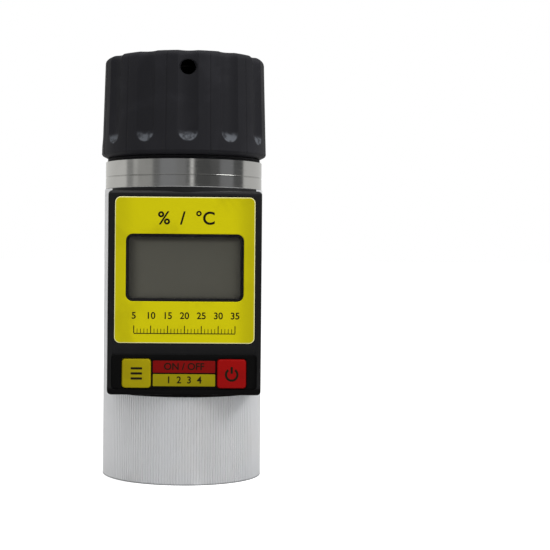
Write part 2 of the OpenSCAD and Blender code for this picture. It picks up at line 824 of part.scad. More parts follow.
// A coloured strip between the keys, above (1) or below (-1) their middle
module key_strip(side) {
  mid_z = key_z + side * (strip_h + strip_gap) / 2;
  plate(round_rect(strip_w, strip_h, strip_gap), strip_y, strip_t, 0, mid_z);
}

module power_strip() {
  color("#a01010") key_strip(1);
}

module function_strip() {
  color("#beaf14") key_strip(-1);
}

// A square key with the flange that keeps it behind the front wall
module key(x) {
  plate(round_rect(key_side, key_side, key_corner), key_y, key_stop_y - key_y, x, key_z);
  plate(round_rect(key_flange_side, key_flange_side, key_corner), key_flange_y, key_flange_t, x, key_z);
}

module function_key() {
  color("#c8b814") key(-key_pitch / 2);
}

module power_key() {
  color("#a81212") key(key_pitch / 2);
}

module housing_screws() {
  color("silver") at_housing_screws() {
    bar(housing_screw_r, head_seat_y - housing_screw_l, housing_screw_l, 0, 0);
    bar(housing_head_r, head_seat_y, housing_head_t, 0, 0);
  }
}

module electrode_lead() {
  color("firebrick") wire(electrode_route);
}

module battery_leads() {
  color("firebrick") for (side = [-1, 1])
    wire([for (p = battery_route) p + [side * battery_lead_pitch / 2, 0, 0]]);
}

module base_plate() {
  floor_t = battery_well_wall;
  color("#222224") difference() {
    union() {
      translate([0, 0, base_rise]) cylinder(r = base_r, h = base_t);
      translate([0, 0, base_top - over])
        cylinder(r = battery_well_r + battery_well_wall, h = battery_well_top + floor_t - base_top + over);
    }
    translate([0, 0, base_rise - over]) cylinder(r = lid_hole_r, h = lid_back_z + run_gap - base_rise + over);
    translate([0, 0, base_rise]) cylinder(r = battery_well_r, h = battery_well_top - base_rise);
    translate([0, 0, groove_z]) cylinder(r = groove_r, h = groove_h);
    for (i = [0 : lug_count - 1]) rotate(i * 360 / lug_count - lid_turn)
      lug_sector(groove_r, lug_angle + lug_play, base_rise - over, groove_z - base_rise + 2 * over);
    translate(concat(lead_hole_place, battery_well_top - over))
      cylinder(r = lead_hole_r, h = floor_t + 2 * over);
  }
}

// A wedge of a disc, of this angle about +X
module lug_sector(r, angle, z, h) {
  reach = r / cos(angle / 2) + over;
  intersection() {
    translate([0, 0, z]) cylinder(r = r, h = h);
    translate([0, 0, z]) linear_extrude(h) polygon([
      [0, 0], reach * [cos(angle / 2), -sin(angle / 2)], reach * [cos(angle / 2), sin(angle / 2)]]);
  }
}

module battery_lid() {
  color("#242426") difference() {
    union() {
      translate([0, 0, base_rise]) cylinder(r = lid_r, h = lid_t);
      translate([0, 0, lid_top - over]) cylinder(r = spigot_lid_r, h = lid_spigot_h + over);
      for (i = [0 : lug_count - 1]) rotate(i * 360 / lug_count) lug_sector(lug_r, lug_angle, lug_z, lug_t);
    }
    translate([-coin_slot[0] / 2, -coin_slot[1] / 2, base_rise - over])
      cube([coin_slot[0], coin_slot[1], coin_slot[2] + over]);
  }
}

module lid_pad() {
  color("dimgray") translate([0, 0, lid_back_z]) cylinder(r = pad_r, h = pad_t);
}

module battery_frame() {
  color("#1d1d1f") {
    difference() {
      translate([0, 0, frame_z]) cylinder(r = spine_r, h = frame_top - frame_z);
      for (p = cell_places) translate([p[0], p[1], frame_z + frame_plate_t])
        cylinder(r = cell_r + cell_gap, h = frame_top - frame_z - 2 * frame_plate_t);
    }
    ring(frame_r, spine_r - over, frame_plate_t, frame_z);
    ring(frame_r, spine_r - over, frame_plate_t, frame_top - frame_plate_t);
  }
}

module batteries() {
  color("peru") for (p = cell_places) translate([p[0], p[1], 0]) {
    translate([0, 0, cell_z]) cylinder(r = cell_r, h = cell_l);
    translate([0, 0, cell_top - over]) cylinder(r = nub_r, h = nub_h + over);
  }
}

module battery_contacts() {
  contact_r = cell_r - contact_inset;
  color("gold") for (p = cell_places, z = [frame_z + frame_plate_t, frame_top - frame_plate_t - contact_t])
    translate([p[0], p[1], z]) cylinder(r = contact_r, h = contact_t);
}

// One flute's cut: a round bar with a round lower end, which leans in with the cap's side
module flute() {
  top = cap_top + 2 * over - flute_ball_z;
  translate([flute_axis, 0, flute_ball_z]) rotate([0, -cap_lean, 0]) rotate_extrude()
    polygon(concat([[0, top]], [for (p = quarter(0, 0, flute_r, 270)) [p[0], p[1]]], [[flute_r, top]]));
}

module cap_shell() {
  rim_z0 = cap_z + cap_bevel_h;
  outside = concat(
    [[0, cap_z], [cap_r - cap_bevel_w, cap_z], [cap_r, rim_z0]],
    quarter(cap_top_r - cap_round, cap_top - cap_round, cap_round, 0),
    [[0, cap_top]]);
  ridge = [
    [-thread_ridge, -thread_crest_w / 2], [thread_sink, -thread_foot_w / 2],
    [thread_sink, thread_foot_w / 2], [-thread_ridge, thread_crest_w / 2]
  ];
  pitch = 360 / flute_count;
  color("#222225") rotate(cap_angle) difference() {
    union() {
      difference() {
        rotate_extrude() polygon(outside);
        translate([0, 0, cap_z - over]) cylinder(r = cap_bore_r, h = cap_ceiling - cap_z + over);
      }
      translate([0, 0, boss_z]) cylinder(r = boss_r, h = cap_ceiling - boss_z + over);
      helix(ridge, cap_bore_r, cap_thread_z, thread_lead, cap_thread_turns, thread_steps, 0, thread_fade);
    }
    for (i = [0 : flute_count - 1]) rotate(i * pitch - 90) flute();
    for (i = [0 : flute_count - 1]) rotate((i + 0.5) * pitch - 90) translate([cap_r, 0, rim_z0])
      rotate([0, -cap_lean, 0]) translate([0, 0, -over]) cylinder(r = crease_depth, h = cap_h, $fn = 4);
    translate([0, 0, dish_z]) cylinder(r = dish_r, h = cap_dish + over);
    translate([0, 0, well_z]) cylinder(r = well_r, h = cap_h);
    translate([0, 0, boss_z - over]) cylinder(r = stem_r + stem_gap, h = cap_h);
    bar(cord_hole_d / 2, -cap_r - over, cap_r + over - boss_r - over, 0, cord_hole_z);
  }
}

module spring_washer() {
  color("silver") ring(spring_out_r + washer_edge, boss_r + run_gap, washer_t, washer_z);
}

module pressure_spring() {
  step = 360 / spring_sides;
  section = [for (j = [0 : spring_sides - 1]) spring_wire / 2 * [cos(j * step), sin(j * step)]];
  lead = (spring_high - spring_low) / spring_turns;
  color("darkgray") helix(section, spring_r, spring_low, lead, spring_turns, spring_steps);
}

module pressure_plate() {
  color("gainsboro") difference() {
    union() {
      translate([0, 0, plate_z]) cylinder(r = plate_r, h = plate_t);
      translate([0, 0, plate_top - over]) cylinder(r = hub_r, h = hub_h + over);
    }
    translate([0, 0, plate_z + plate_t / 2]) cylinder(r = stem_r + push_gap, h = plate_t + hub_h);
  }
}

module indicator_stem() {
  color("khaki") difference() {
    translate([0, 0, plate_z + plate_t / 2]) cylinder(r = stem_r, h = stem_top - plate_z - plate_t / 2);
    ring(stem_r + over, stem_r - stem_groove, stem_clip_t + push_gap, clip_z - push_gap / 2);
  }
}

module stem_clip() {
  color("dimgray") difference() {
    ring(stem_r + stem_clip_w, stem_r - stem_groove + push_gap, stem_clip_t, clip_z);
    translate([-stem_r / 2, 0, clip_z - over]) cube([stem_r, stem_d, stem_clip_t + 2 * over]);
  }
}

body_tube();
measuring_cup();
neck_seal();
centre_electrode();
electrode_insulator();
electrode_nut();
temperature_sensor();
display_housing();
face_label();
window_lens();
lcd_glass();
lcd_bezel();
zebra_strips();
main_board();
board_components();
board_screws();
key_switches();
keypad_panel();
power_strip();
function_strip();
function_key();
power_key();
housing_screws();
electrode_lead();
battery_leads();
base_plate();
battery_frame();
batteries();
battery_contacts();
battery_lid();
lid_pad();
cap_shell();
spring_washer();
pressure_spring();
pressure_plate();
indicator_stem();
stem_clip();
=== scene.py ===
# %% [markdown]
# This lesson dresses a cup type grain moisture meter: a ribbed metal tube with a display housing on
# its front, a bright turned cup in its top, and a fluted black screw cap that presses the grain.
# The solids come in as a fixed frame, in metres, with the front towards -Y and the table at Z = 0.
# Nothing in the frame is moved. A solid either gets a finish, or a finer mesh stands in its place.

# %% Load the frame
import math

import bmesh
import bpy
from mathutils import Matrix, Vector


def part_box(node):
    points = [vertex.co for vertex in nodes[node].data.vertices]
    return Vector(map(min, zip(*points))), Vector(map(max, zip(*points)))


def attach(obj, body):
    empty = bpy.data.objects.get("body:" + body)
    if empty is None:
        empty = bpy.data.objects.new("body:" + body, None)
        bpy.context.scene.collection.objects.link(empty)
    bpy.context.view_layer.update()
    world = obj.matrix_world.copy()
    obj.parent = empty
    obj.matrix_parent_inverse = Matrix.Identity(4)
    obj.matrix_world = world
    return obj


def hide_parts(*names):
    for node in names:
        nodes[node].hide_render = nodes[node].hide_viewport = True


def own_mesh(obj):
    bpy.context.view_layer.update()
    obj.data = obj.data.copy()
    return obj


MM = 0.001
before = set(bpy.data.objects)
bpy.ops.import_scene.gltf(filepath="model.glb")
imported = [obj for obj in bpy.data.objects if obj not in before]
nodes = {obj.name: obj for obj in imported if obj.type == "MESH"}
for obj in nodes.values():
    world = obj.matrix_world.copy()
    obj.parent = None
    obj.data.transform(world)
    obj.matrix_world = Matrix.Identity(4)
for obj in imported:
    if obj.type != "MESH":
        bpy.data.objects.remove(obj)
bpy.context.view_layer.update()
scene = bpy.context.scene
scene.view_settings.view_transform = "Standard"

# %% [markdown]
# The picture looks straight at the front from a little to the left of it, level with the display.
# A level camera keeps the sides of the tube upright, and lens shift puts the meter left of the middle
# without turning the camera. A slight roll lets the meter lean as it does in the picture.

# %% Camera
PICTURE = 550
VIEW_DISTANCE = 0.640
VIEW_HEIGHT = 0.1065
VIEW_TURN = math.radians(1.25)
VIEW_ROLL = math.radians(0.47)
LENS = 86.5
SENSOR_WIDTH = 36
# Pixel of the picture where the line of sight meets the meter's axis
SIGHT_PIXEL = (183.1, 252)

camera_data = bpy.data.cameras.new("camera")
camera_data.lens = LENS
camera_data.sensor_width = SENSOR_WIDTH
camera_data.shift_x = (PICTURE / 2 - SIGHT_PIXEL[0]) / PICTURE
camera_data.shift_y = (SIGHT_PIXEL[1] - PICTURE / 2) / PICTURE
camera = bpy.data.objects.new("camera", camera_data)
scene.collection.objects.link(camera)
left_of_axis = VIEW_DISTANCE * math.sin(VIEW_TURN)
before_axis = VIEW_DISTANCE * math.cos(VIEW_TURN)
place = Matrix.Translation((-left_of_axis, -before_axis, VIEW_HEIGHT))
level = Matrix.Rotation(-VIEW_TURN, 4, "Z") @ Matrix.Rotation(math.pi / 2, 4, "X")
camera.matrix_world = place @ level @ Matrix.Rotation(VIEW_ROLL, 4, "Z")
scene.camera = camera
print("camera at", [round(v, 3) for v in camera.location])

# %% [markdown]
# Node trees are built by hand many times below, so small helpers keep them short. They add a node with
# its settings, feed a socket, remap or combine values, mix two colours, and take a place on a piece apart
# into X, Y and Z.

# %% Node helpers
def add(tree, kind, **settings):
    """A new node of a kind, with its settings."""
    made = tree.nodes.new("ShaderNode" + kind)
    for name, value in settings.items():
        setattr(made, name, value)
    return made


def feed(tree, value, socket):
    """Joins a socket to another node's output, or gives it a fixed value."""
    if isinstance(value, bpy.types.NodeSocket):
        tree.links.new(value, socket)
    else:
        socket.default_value = value


def remap(tree, value, low, high, to_low=0.0, to_high=1.0):
    """Takes a value smoothly from one range to another."""
    made = add(tree, "MapRange", interpolation_type="SMOOTHSTEP")
    for given, socket in zip((value, low, high, to_low, to_high), made.inputs):
        feed(tree, given, socket)
    return made.outputs[0]


def combine(tree, operation, first, second):
    """What a Math node makes of two values."""
    made = add(tree, "Math", operation=operation)
    for given, socket in zip((first, second), made.inputs):
        feed(tree, given, socket)
    return made.outputs[0]


def mix(tree, mask, first, second):
    """Goes from one colour to another as the mask rises from 0 to 1."""
    made = add(tree, "Mix", data_type="RGBA")
    # A Mix node has sockets for each type of data: inputs 6 and 7 and output 2 are those for colours
    for given, index in zip((mask, first, second), (0, 6, 7)):
        feed(tree, given, made.inputs[index])
    return made.outputs[2]


def place_on(tree, kind="Object"):
    """A place on the piece, or with another kind its normal or a direction."""
    return add(tree, "TexCoord").outputs[kind]


def axes_of(tree, kind="Object"):
    """X, Y and Z of such a place, normal or direction."""
    axes = add(tree, "SeparateXYZ")
    feed(tree, place_on(tree, kind), axes.inputs[0])
    return axes.outputs


def paint(red, green, blue):
    """A colour given as it looks on a screen, 0 to 255, as the linear values that shaders take."""
    def linear(byte):
        share = byte / 255
        return share / 12.92 if share <= 0.04045 else ((share + 0.055) / 1.055) ** 2.4
    return (linear(red), linear(green), linear(blue), 1)


print("node helpers ready")

# %% [markdown]
# The meter stands in a white studio. The world is white to the camera, an even soft grey to matt
# surfaces, and to shiny ones a ring of pale and dark cards: that ring is what bright turned metal
# shows as upright stripes. The cards are given by the angle round the meter at which they stand. The
# world isn't sampled as a lamp, because such samples don't say what kind of surface asked for light.

# %% World
CARD_EDGE = 1.5
# Angle from the front, positive to the right, at which each card starts, how bright and how warm it is
CARDS = [(-180, 0.74, 0.03), (-93, 0.34, 0.02), (-80, 0.58, 0.03), (-72, 0.42, 0.03), (-47, 0.20, 0),
         (-36, 0.29, -0.03), (-12, 0.26, -0.01), (2, 0.16, 0), (8.5, 0.95, 0.02), (13, 0.10, 0),
         (38, 0.13, 0), (53, 0.26, -0.03), (76, 0.12, -0.01), (96, 0.68, 0.02)]
CEILING_LIGHT = 0.9
# Upward part of a direction at which the cards start to give way to the ceiling, and at which they end
CEILING_FADE = (0.4, 0.85)
FILL_LIGHT = 0.76


def grey(level):
    return (level, level, level, 1)


def card_colour(bright, warm):
    return (bright * (1 + warm / 3), bright, bright * (1 - warm), 1)


def card_ring(tree, axes):
    """The card that stands at the angle of a direction, or of a place, round the meter."""
    angle = combine(tree, "ARCTAN2", axes["X"], combine(tree, "MULTIPLY", axes["Y"], -1))
    ring = add(tree, "ValToRGB")
    stops = ring.color_ramp.elements
    stops[0].position = 0
    stops[0].color = card_colour(*CARDS[0][1:])
    stops[1].position = 1
    stops[1].color = card_colour(*CARDS[-1][1:])
    for (_, *before), (start, *after) in zip(CARDS, CARDS[1:]):
        stops.new((start - CARD_EDGE) / 360 + 0.5).color = card_colour(*before)
        stops.new((start + CARD_EDGE) / 360 + 0.5).color = card_colour(*after)
    share_of_turn = combine(tree, "DIVIDE", angle, 2 * math.pi)
    feed(tree, combine(tree, "ADD", share_of_turn, 0.5), ring.inputs[0])
    return ring.outputs[0]


world = bpy.data.worlds.new("studio")
scene.world = world
world.cycles.sampling_method = "NONE"
world.use_nodes = True
tree = world.node_tree
tree.nodes.clear()
axes = axes_of(tree, "Generated")
ray = add(tree, "LightPath").outputs
shiny_view = mix(tree, remap(tree, axes["Z"], *CEILING_FADE), card_ring(tree, axes), grey(CEILING_LIGHT))
light = mix(tree, ray["Is Glossy Ray"], grey(FILL_LIGHT), shiny_view)
background = add(tree, "Background")
feed(tree, mix(tree, ray["Is Camera Ray"], light, grey(1)), background.inputs[0])
feed(tree, background.outputs[0], add(tree, "OutputWorld").inputs[0])
print("world with", len(CARDS), "cards")

# %% [markdown]
# Three soft lamps add shape to that even light: one high on the right, which darkens the right wall of
# each flute, a weaker one high on the left, and one above. Each is a disk that looks at the meter.

# %% Lamps
AIM = Vector((0, 0, 0.11))
LAMP_DISTANCE = 0.85
# Angle from the front, height angle, width and power of each lamp
LAMPS = {"key_lamp": (70, 38, 0.40, 3.2), "left_lamp": (-40, 52, 0.25, 0.6), "top_lamp": (0, 80, 0.50, 3.4)}
for name, (side, rise, size, power) in LAMPS.items():
    reach = LAMP_DISTANCE * math.cos(math.radians(rise))
    spot = AIM + Vector((reach * math.sin(math.radians(side)), -reach * math.cos(math.radians(side)),
                         LAMP_DISTANCE * math.sin(math.radians(rise))))
    lamp = bpy.data.lights.new(name, "AREA")
    lamp.shape = "DISK"
    lamp.size = size
    lamp.energy = power
    lamp_object = bpy.data.objects.new(name, lamp)
    scene.collection.objects.link(lamp_object)
    lamp_object.location = spot
    lamp_object.rotation_mode = "QUATERNION"
    lamp_object.rotation_quaternion = (AIM - spot).to_track_quat("-Z", "Y")
print("lamps", list(LAMPS))

# %% [markdown]
# The floor is pale and matt. It adds a little light of its own to what the camera sees, so it reads as
# white and still keeps a soft shadow. Shiny surfaces see the ring of cards go on in it, so the bright
# metal has its stripes from above as well.

# %% Floor
FLOOR_SIZE = 30
FLOOR_GREY = 0.8
FLOOR_ROUGH = 0.9
FLOOR_GLOW = 0.5
floor_finish = bpy.data.materials.new("studio_floor")
floor_finish.use_nodes = True
tree = floor_finish.node_tree
floor_shader = tree.nodes["Principled BSDF"]
floor_shader.inputs["Base Color"].default_value = grey(FLOOR_GREY)
floor_shader.inputs["Roughness"].default_value = FLOOR_ROUGH
floor_shader.inputs["Emission Color"].default_value = grey(1)
ray = add(tree, "LightPath").outputs
looked_at = combine(tree, "MAXIMUM", ray["Is Camera Ray"], ray["Is Transmission Ray"])
feed(tree, combine(tree, "MULTIPLY", looked_at, FLOOR_GLOW), floor_shader.inputs["Emission Strength"])
mirrored = add(tree, "Emission")
feed(tree, card_ring(tree, axes_of(tree)), mirrored.inputs["Color"])
floor_view = add(tree, "MixShader")
feed(tree, ray["Is Glossy Ray"], floor_view.inputs[0])
feed(tree, floor_shader.outputs[0], floor_view.inputs[1])
feed(tree, mirrored.outputs[0], floor_view.inputs[2])
feed(tree, floor_view.outputs[0], tree.nodes["Material Output"].inputs[0])

bpy.ops.object.select_all(action="DESELECT")
bpy.ops.mesh.primitive_plane_add(size=FLOOR_SIZE)
floor = bpy.context.object
floor.name = "studio_floor"
floor.data.materials.append(floor_finish)
print("floor", FLOOR_SIZE, "m wide")

# %% [markdown]
# Several finishes share the same small effects. Moulded skin is the fine pebble that a spark-eroded
# mould leaves on plastic. Handling is what use leaves: soft smudges, and dust that settles on what faces
# up. Turned rings are the lines that a lathe tool leaves round an axis. Hairlines are stray scratches.
# All read Object coordinates, so they stay on a moving piece.

# %% Shared effects
def noise(tree, where, scale, detail=2.0, distortion=0.0):
    """Noise over a place, or along a single value."""
    single = where.type == "VALUE"
    made = add(tree, "TexNoise", noise_dimensions="1D" if single else "3D")
    feed(tree, where, made.inputs["W" if single else "Vector"])
    for label, value in (("Scale", scale), ("Detail", detail), ("Distortion", distortion)):
        feed(tree, value, made.inputs[label])
    return made.outputs[0]


def radius_of(tree, axes):
    """Distance from the meter's axis."""
    squares = [combine(tree, "MULTIPLY", axes[name], axes[name]) for name in ("X", "Y")]
    return combine(tree, "POWER", combine(tree, "ADD", *squares), 0.5)


def moulded_skin(tree, grain):
    where = place_on(tree)
    pebble = noise(tree, where, grain, 3)
    flow = remap(tree, noise(tree, where, 55, 4), 0.35, 0.68)
    return {"Height": pebble, "Shine": combine(tree, "MULTIPLY", flow, pebble)}


def handling(tree, smudge_scale):
    where = place_on(tree)
    smudge = remap(tree, noise(tree, where, smudge_scale, 5, 0.8), 0.42, 0.72)
    upward = remap(tree, axes_of(tree, "Normal")["Z"], 0.2, 1.0, 0.12, 1.0)
    speck = remap(tree, noise(tree, where, 1500, 1), 0.66, 0.76)
    veil = remap(tree, noise(tree, where, 90, 4), 0.4, 0.75, 0, 0.5)
    settled = combine(tree, "MAXIMUM", speck, veil)
    return {"Smudge": smudge, "Dust": combine(tree, "MULTIPLY", upward, settled)}


def turned_rings(tree, lines):
    axes = axes_of(tree)
    along = combine(tree, "ADD", axes["Z"], radius_of(tree, axes))
    stretched = add(tree, "CombineXYZ")
    feed(tree, combine(tree, "ARCTAN2", axes["X"], axes["Y"]), stretched.inputs["X"])
    feed(tree, combine(tree, "MULTIPLY", along, 900), stretched.inputs["Y"])
    nick = remap(tree, noise(tree, stretched.outputs[0], 3), 0.69, 0.78)
    return {"Height": noise(tree, along, lines), "Shine": noise(tree, along, 700, 3), "Nick": nick}


def hairlines(tree, spread):
    scratch = 0.0
    for lean in (0.5, -0.9):
        leaning = add(tree, "Mapping")
        leaning.inputs["Rotation"].default_value = (0, lean, 0)
        leaning.inputs["Scale"].default_value = (1, 1, 28)
        feed(tree, place_on(tree), leaning.inputs[0])
        streak = remap(tree, noise(tree, leaning.outputs[0], spread, 1), 0.70, 0.80)
        scratch = combine(tree, "MAXIMUM", streak, scratch)
    return {"Scratch": scratch}


print("effects defined")

# %% [markdown]
# Each of these functions becomes a node group with one named setting and named outputs. A group is built
# once and then placed in every finish that needs it, with its own value for the setting.

# %% Effect groups
def make_effect(build, setting):
    """A node group with one setting, whose outputs are what the given function builds."""
    tree = bpy.data.node_groups.new(build.__name__, "ShaderNodeTree")
    tree.interface.new_socket(name=setting, in_out="INPUT", socket_type="NodeSocketFloat")
    given = tree.nodes.new("NodeGroupInput").outputs[0]
    made = build(tree, given)
    for label in made:
        tree.interface.new_socket(name=label, in_out="OUTPUT", socket_type="NodeSocketFloat")
    result = tree.nodes.new("NodeGroupOutput")
    for label, value in made.items():
        feed(tree, value, result.inputs[label])
    return tree


EFFECTS = {build.__name__: make_effect(build, setting) for build, setting in (
    (moulded_skin, "Grain"), (handling, "Smudge Scale"), (turned_rings, "Lines"), (hairlines, "Spread"))}
print("effects", list(EFFECTS))

# %% [markdown]
# A finish is one Principled shader. What is the same all over sits on the shader's own sockets. What
# changes over the surface comes from the groups: they tint the colour, shift the roughness, or bump
# the normal. A place on the meter can be a mask too. Each finish below is a short recipe of these.

# %% Finish helpers
class Finish:
    """A material under way: its tree, its shader, and the ways the shared effects reach it."""

    def __init__(self, name, colour, roughness, metallic=0.0, **sockets):
        self.material = bpy.data.materials.new(name)
        self.material.use_nodes = True
        self.tree = self.material.node_tree
        self.shader = self.tree.nodes["Principled BSDF"]
        sockets.update(Base_Color=colour, Roughness=roughness, Metallic=metallic)
        for label, value in sockets.items():
            self.shader.inputs[label.replace("_", " ")].default_value = value

    def along(self, axis, kind="Object"):
        """Place along an axis on the meter, or with kind Normal how much the surface faces that way."""
        return axes_of(self.tree, kind)[axis]

    def effect(self, name, amount):
        """The outputs of a shared effect, with its one setting at this amount."""
        placed = add(self.tree, "Group", node_tree=EFFECTS[name])
        placed.inputs[0].default_value = amount
        return placed.outputs

    def tint(self, mask, colour, share=1.0):
        """Lets colour through where the mask is high."""
        socket = self.shader.inputs["Base Color"]
        under = socket.links[0].from_socket if socket.is_linked else tuple(socket.default_value)
        feed(self.tree, mix(self.tree, remap(self.tree, mask, 0, 1, 0, share), under, colour), socket)

    def shine(self, mask, low, high):
        """Lets the roughness go from low to high with the mask."""
        feed(self.tree, remap(self.tree, mask, 0, 1, low, high), self.shader.inputs["Roughness"])

    def bump(self, heightmap, depth):
        """Shows a height map as relief of this depth."""
        bump = add(self.tree, "Bump")
        bump.inputs["Strength"].default_value = 1
        bump.inputs["Distance"].default_value = depth
        feed(self.tree, heightmap, bump.inputs["Height"])
        feed(self.tree, bump.outputs[0], self.shader.inputs["Normal"])


print("finish helpers ready")

# %% [markdown]
# Black plastics come first. The cap and the housing are moulded in a satin black with a fine pebble.
# The lower ends of the cap's flutes, where the surface faces up, have a painted highlight: a pale tint.
# The lip under the keypad has painted shade, which makes it as deep a black as the keypad. The overlay
# there is smoother, the seal a matt rubber, and the inner mouldings are plain. A little dust keeps it
# all from looking new.

# %% Black finishes
DUST = paint(120, 118, 112)


def lighter(colour, factor):
    """A colour with its light scaled, so that a factor under 1 makes it darker."""
    return tuple(min(1, part * factor) for part in colour[:3]) + (1,)


def black_plastic(name, colour, rough, grain, depth, dust, gloss=0.2):
    """Moulded black of a roughness, with a pebble of a grain and depth, a share of dust, and a gloss."""
    finish = Finish(name, colour, rough, Specular_IOR_Level=gloss)
    skin = finish.effect("moulded_skin", grain)
    use = finish.effect("handling", 38.0)
    finish.shine(skin["Shine"], rough + 0.10, rough - 0.08)
    finish.tint(use["Smudge"], lighter(colour, 1.35), 0.7)
    finish.tint(use["Dust"], DUST, dust)
    finish.bump(skin["Height"], depth)
    return finish


cap_low, cap_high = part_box("cap_shell")
SCOOP_HIGHLIGHT_TOP = cap_low.z + 16 * MM
SCOOP_HIGHLIGHT_FADE = 2 * MM
cap_black = black_plastic("cap_black", paint(34, 34, 37), 0.42, 1700.0, 0.03 * MM, 0.02, 0.04)
tree = cap_black.tree
# Painted highlight: a pale tint where the flute ends face up, low on the cap
facing_up = remap(tree, cap_black.along("Z", "Normal"), 0.0, 0.45)
low_down = remap(tree, cap_black.along("Z"), SCOOP_HIGHLIGHT_TOP, SCOOP_HIGHLIGHT_TOP - SCOOP_HIGHLIGHT_FADE)
uneven = remap(tree, noise(tree, place_on(tree), 420, 3), 0.36, 0.60, 0.35, 1)
scoop_highlight = combine(tree, "MULTIPLY", combine(tree, "MULTIPLY", facing_up, low_down), uneven)
cap_black.tint(scoop_highlight, paint(84, 87, 92))

housing_low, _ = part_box("display_housing")
LIP_SHADE_TOP = housing_low.z + 4.3 * MM
LIP_SHADE_FADE = 0.6 * MM
housing_black = black_plastic("housing_black", paint(24, 24, 25), 0.40, 2600.0, 0.04 * MM, 0.06, 0.12)
# Painted shade: the lip under the keypad is tinted near black below this height
lip = remap(housing_black.tree, housing_black.along("Z"), LIP_SHADE_TOP, LIP_SHADE_TOP - LIP_SHADE_FADE)
housing_black.tint(lip, paint(5, 4, 5), 0.95)

inner_black = black_plastic("inner_black", paint(30, 30, 32), 0.50, 1600.0, 0.03 * MM, 0.05)
panel_black = black_plastic("panel_black", paint(6, 6, 6), 0.34, 3200.0, 0.01 * MM, 0.01, 0.12)
seal_rubber = black_plastic("seal_rubber", paint(18, 18, 20), 0.62, 1300.0, 0.05 * MM, 0.02, 0.1)
chip_black = black_plastic("chip_black", paint(28, 28, 29), 0.55, 2400.0, 0.03 * MM, 0.02)
contact_rubber = black_plastic("contact_rubber", paint(110, 110, 116), 0.70, 2000.0, 0.03 * MM, 0.0)
foam = black_plastic("foam", paint(66, 66, 67), 0.90, 900.0, 0.30 * MM, 0.1)
print("black finishes made")

# %% [markdown]
# Metals: the tube is a pale anodised extrusion, almost matt, with painted shade down in its grooves and
# a painted dark line along its foot.
# The cup, the spring and the fasteners are bare turned metal, where ring lines and nicks catch light.

# %% Metal finishes
_, tube_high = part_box("body_tube")
TUBE_R = tube_high.x
RIB_DEPTH = 0.4 * MM
FOOT_SHADE_HEIGHT = 0.9 * MM
TOOL_LINE = 0.003 * MM


def ribbed_tube_finish():
    finish = Finish("ribbed_tube", paint(236, 237, 239), 0.50, 0.6)
    use = finish.effect("handling", 30.0)
    skin = finish.effect("moulded_skin", 3800.0)
    tree = finish.tree
    radius = radius_of(tree, axes_of(tree))
    # Painted shade: a slightly darker tint down in the grooves between the ribs
    groove_shade = remap(tree, radius, TUBE_R - 0.15 * RIB_DEPTH, TUBE_R - RIB_DEPTH)
    finish.tint(groove_shade, paint(226, 226, 228), 0.2)
    # Painted shade: a dark line along the foot of the tube, where it meets the floor
    finish.tint(remap(tree, finish.along("Z"), FOOT_SHADE_HEIGHT, FOOT_SHADE_HEIGHT / 9), paint(120, 122, 125), 0.7)
    finish.tint(use["Smudge"], paint(234, 233, 232), 0.35)
    finish.shine(skin["Shine"], 0.56, 0.42)
    finish.bump(skin["Height"], 0.012 * MM)
    return finish


def turned_metal_finish(name, colour, rough, lines, depth=TOOL_LINE):
    """Bare metal of a roughness, with tool lines of a fineness and a depth."""
    finish = Finish(name, colour, rough, 1.0)
    rings = finish.effect("turned_rings", lines)
    use = finish.effect("handling", 55.0)
    finish.tint(rings["Nick"], paint(236, 236, 236), 0.6)
    finish.tint(use["Smudge"], lighter(colour, 0.86), 0.6)
    finish.shine(rings["Shine"], rough * 0.7, rough * 1.35)
    finish.bump(rings["Height"], depth)
    return finish


ribbed_tube = ribbed_tube_finish()
turned_metal = turned_metal_finish("turned_metal", paint(192, 192, 190), 0.13, 4200.0, TOOL_LINE / 2)
steel = turned_metal_finish("steel", paint(178, 178, 180), 0.28, 3000.0)
spring_steel = turned_metal_finish("spring_steel", paint(64, 64, 66), 0.50, 3000.0)
electrode_metal = turned_metal_finish("electrode_metal", paint(205, 205, 205), 0.20, 3600.0)
contact_brass = turned_metal_finish("contact_brass", paint(214, 178, 96), 0.30, 2600.0)
print("metal finishes made")

# %% [markdown]
# Coloured parts: the face label is a printed yellow film whose cut edge shows a pale finish, which stands
# for its pale core and is also a painted highlight. The keys and strips are the same yellow and a deep red.
# Print is a dark ink. Towards its sides the label has painted shade: a mask on X tints it darker there.

# %% Coloured finishes
def coloured(name, colour, rough, worn, **sockets):
    """Coloured plastic or film of a roughness, with a second colour where hands have worn it."""
    finish = Finish(name, colour, rough, **sockets)
    use = finish.effect("handling", 48.0)
    skin = finish.effect("moulded_skin", 2600.0)
    marks = finish.effect("hairlines", 70.0)
    finish.tint(use["Smudge"], worn, 0.5)
    finish.tint(marks["Scratch"], lighter(colour, 1.25), 0.18)
    finish.tint(use["Dust"], DUST, 0.05)
    finish.shine(skin["Shine"], rough + 0.07, rough - 0.07)
    finish.bump(skin["Height"], 0.02 * MM)
    return finish


PRINTED = {"Specular_IOR_Level": 0.06}
label_yellow = coloured("label_yellow", paint(191, 182, 3), 0.48, paint(166, 157, 3), **PRINTED)
label_low, label_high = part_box("face_label")
LABEL_SHADE_SPAN = 0.4 * label_high.x
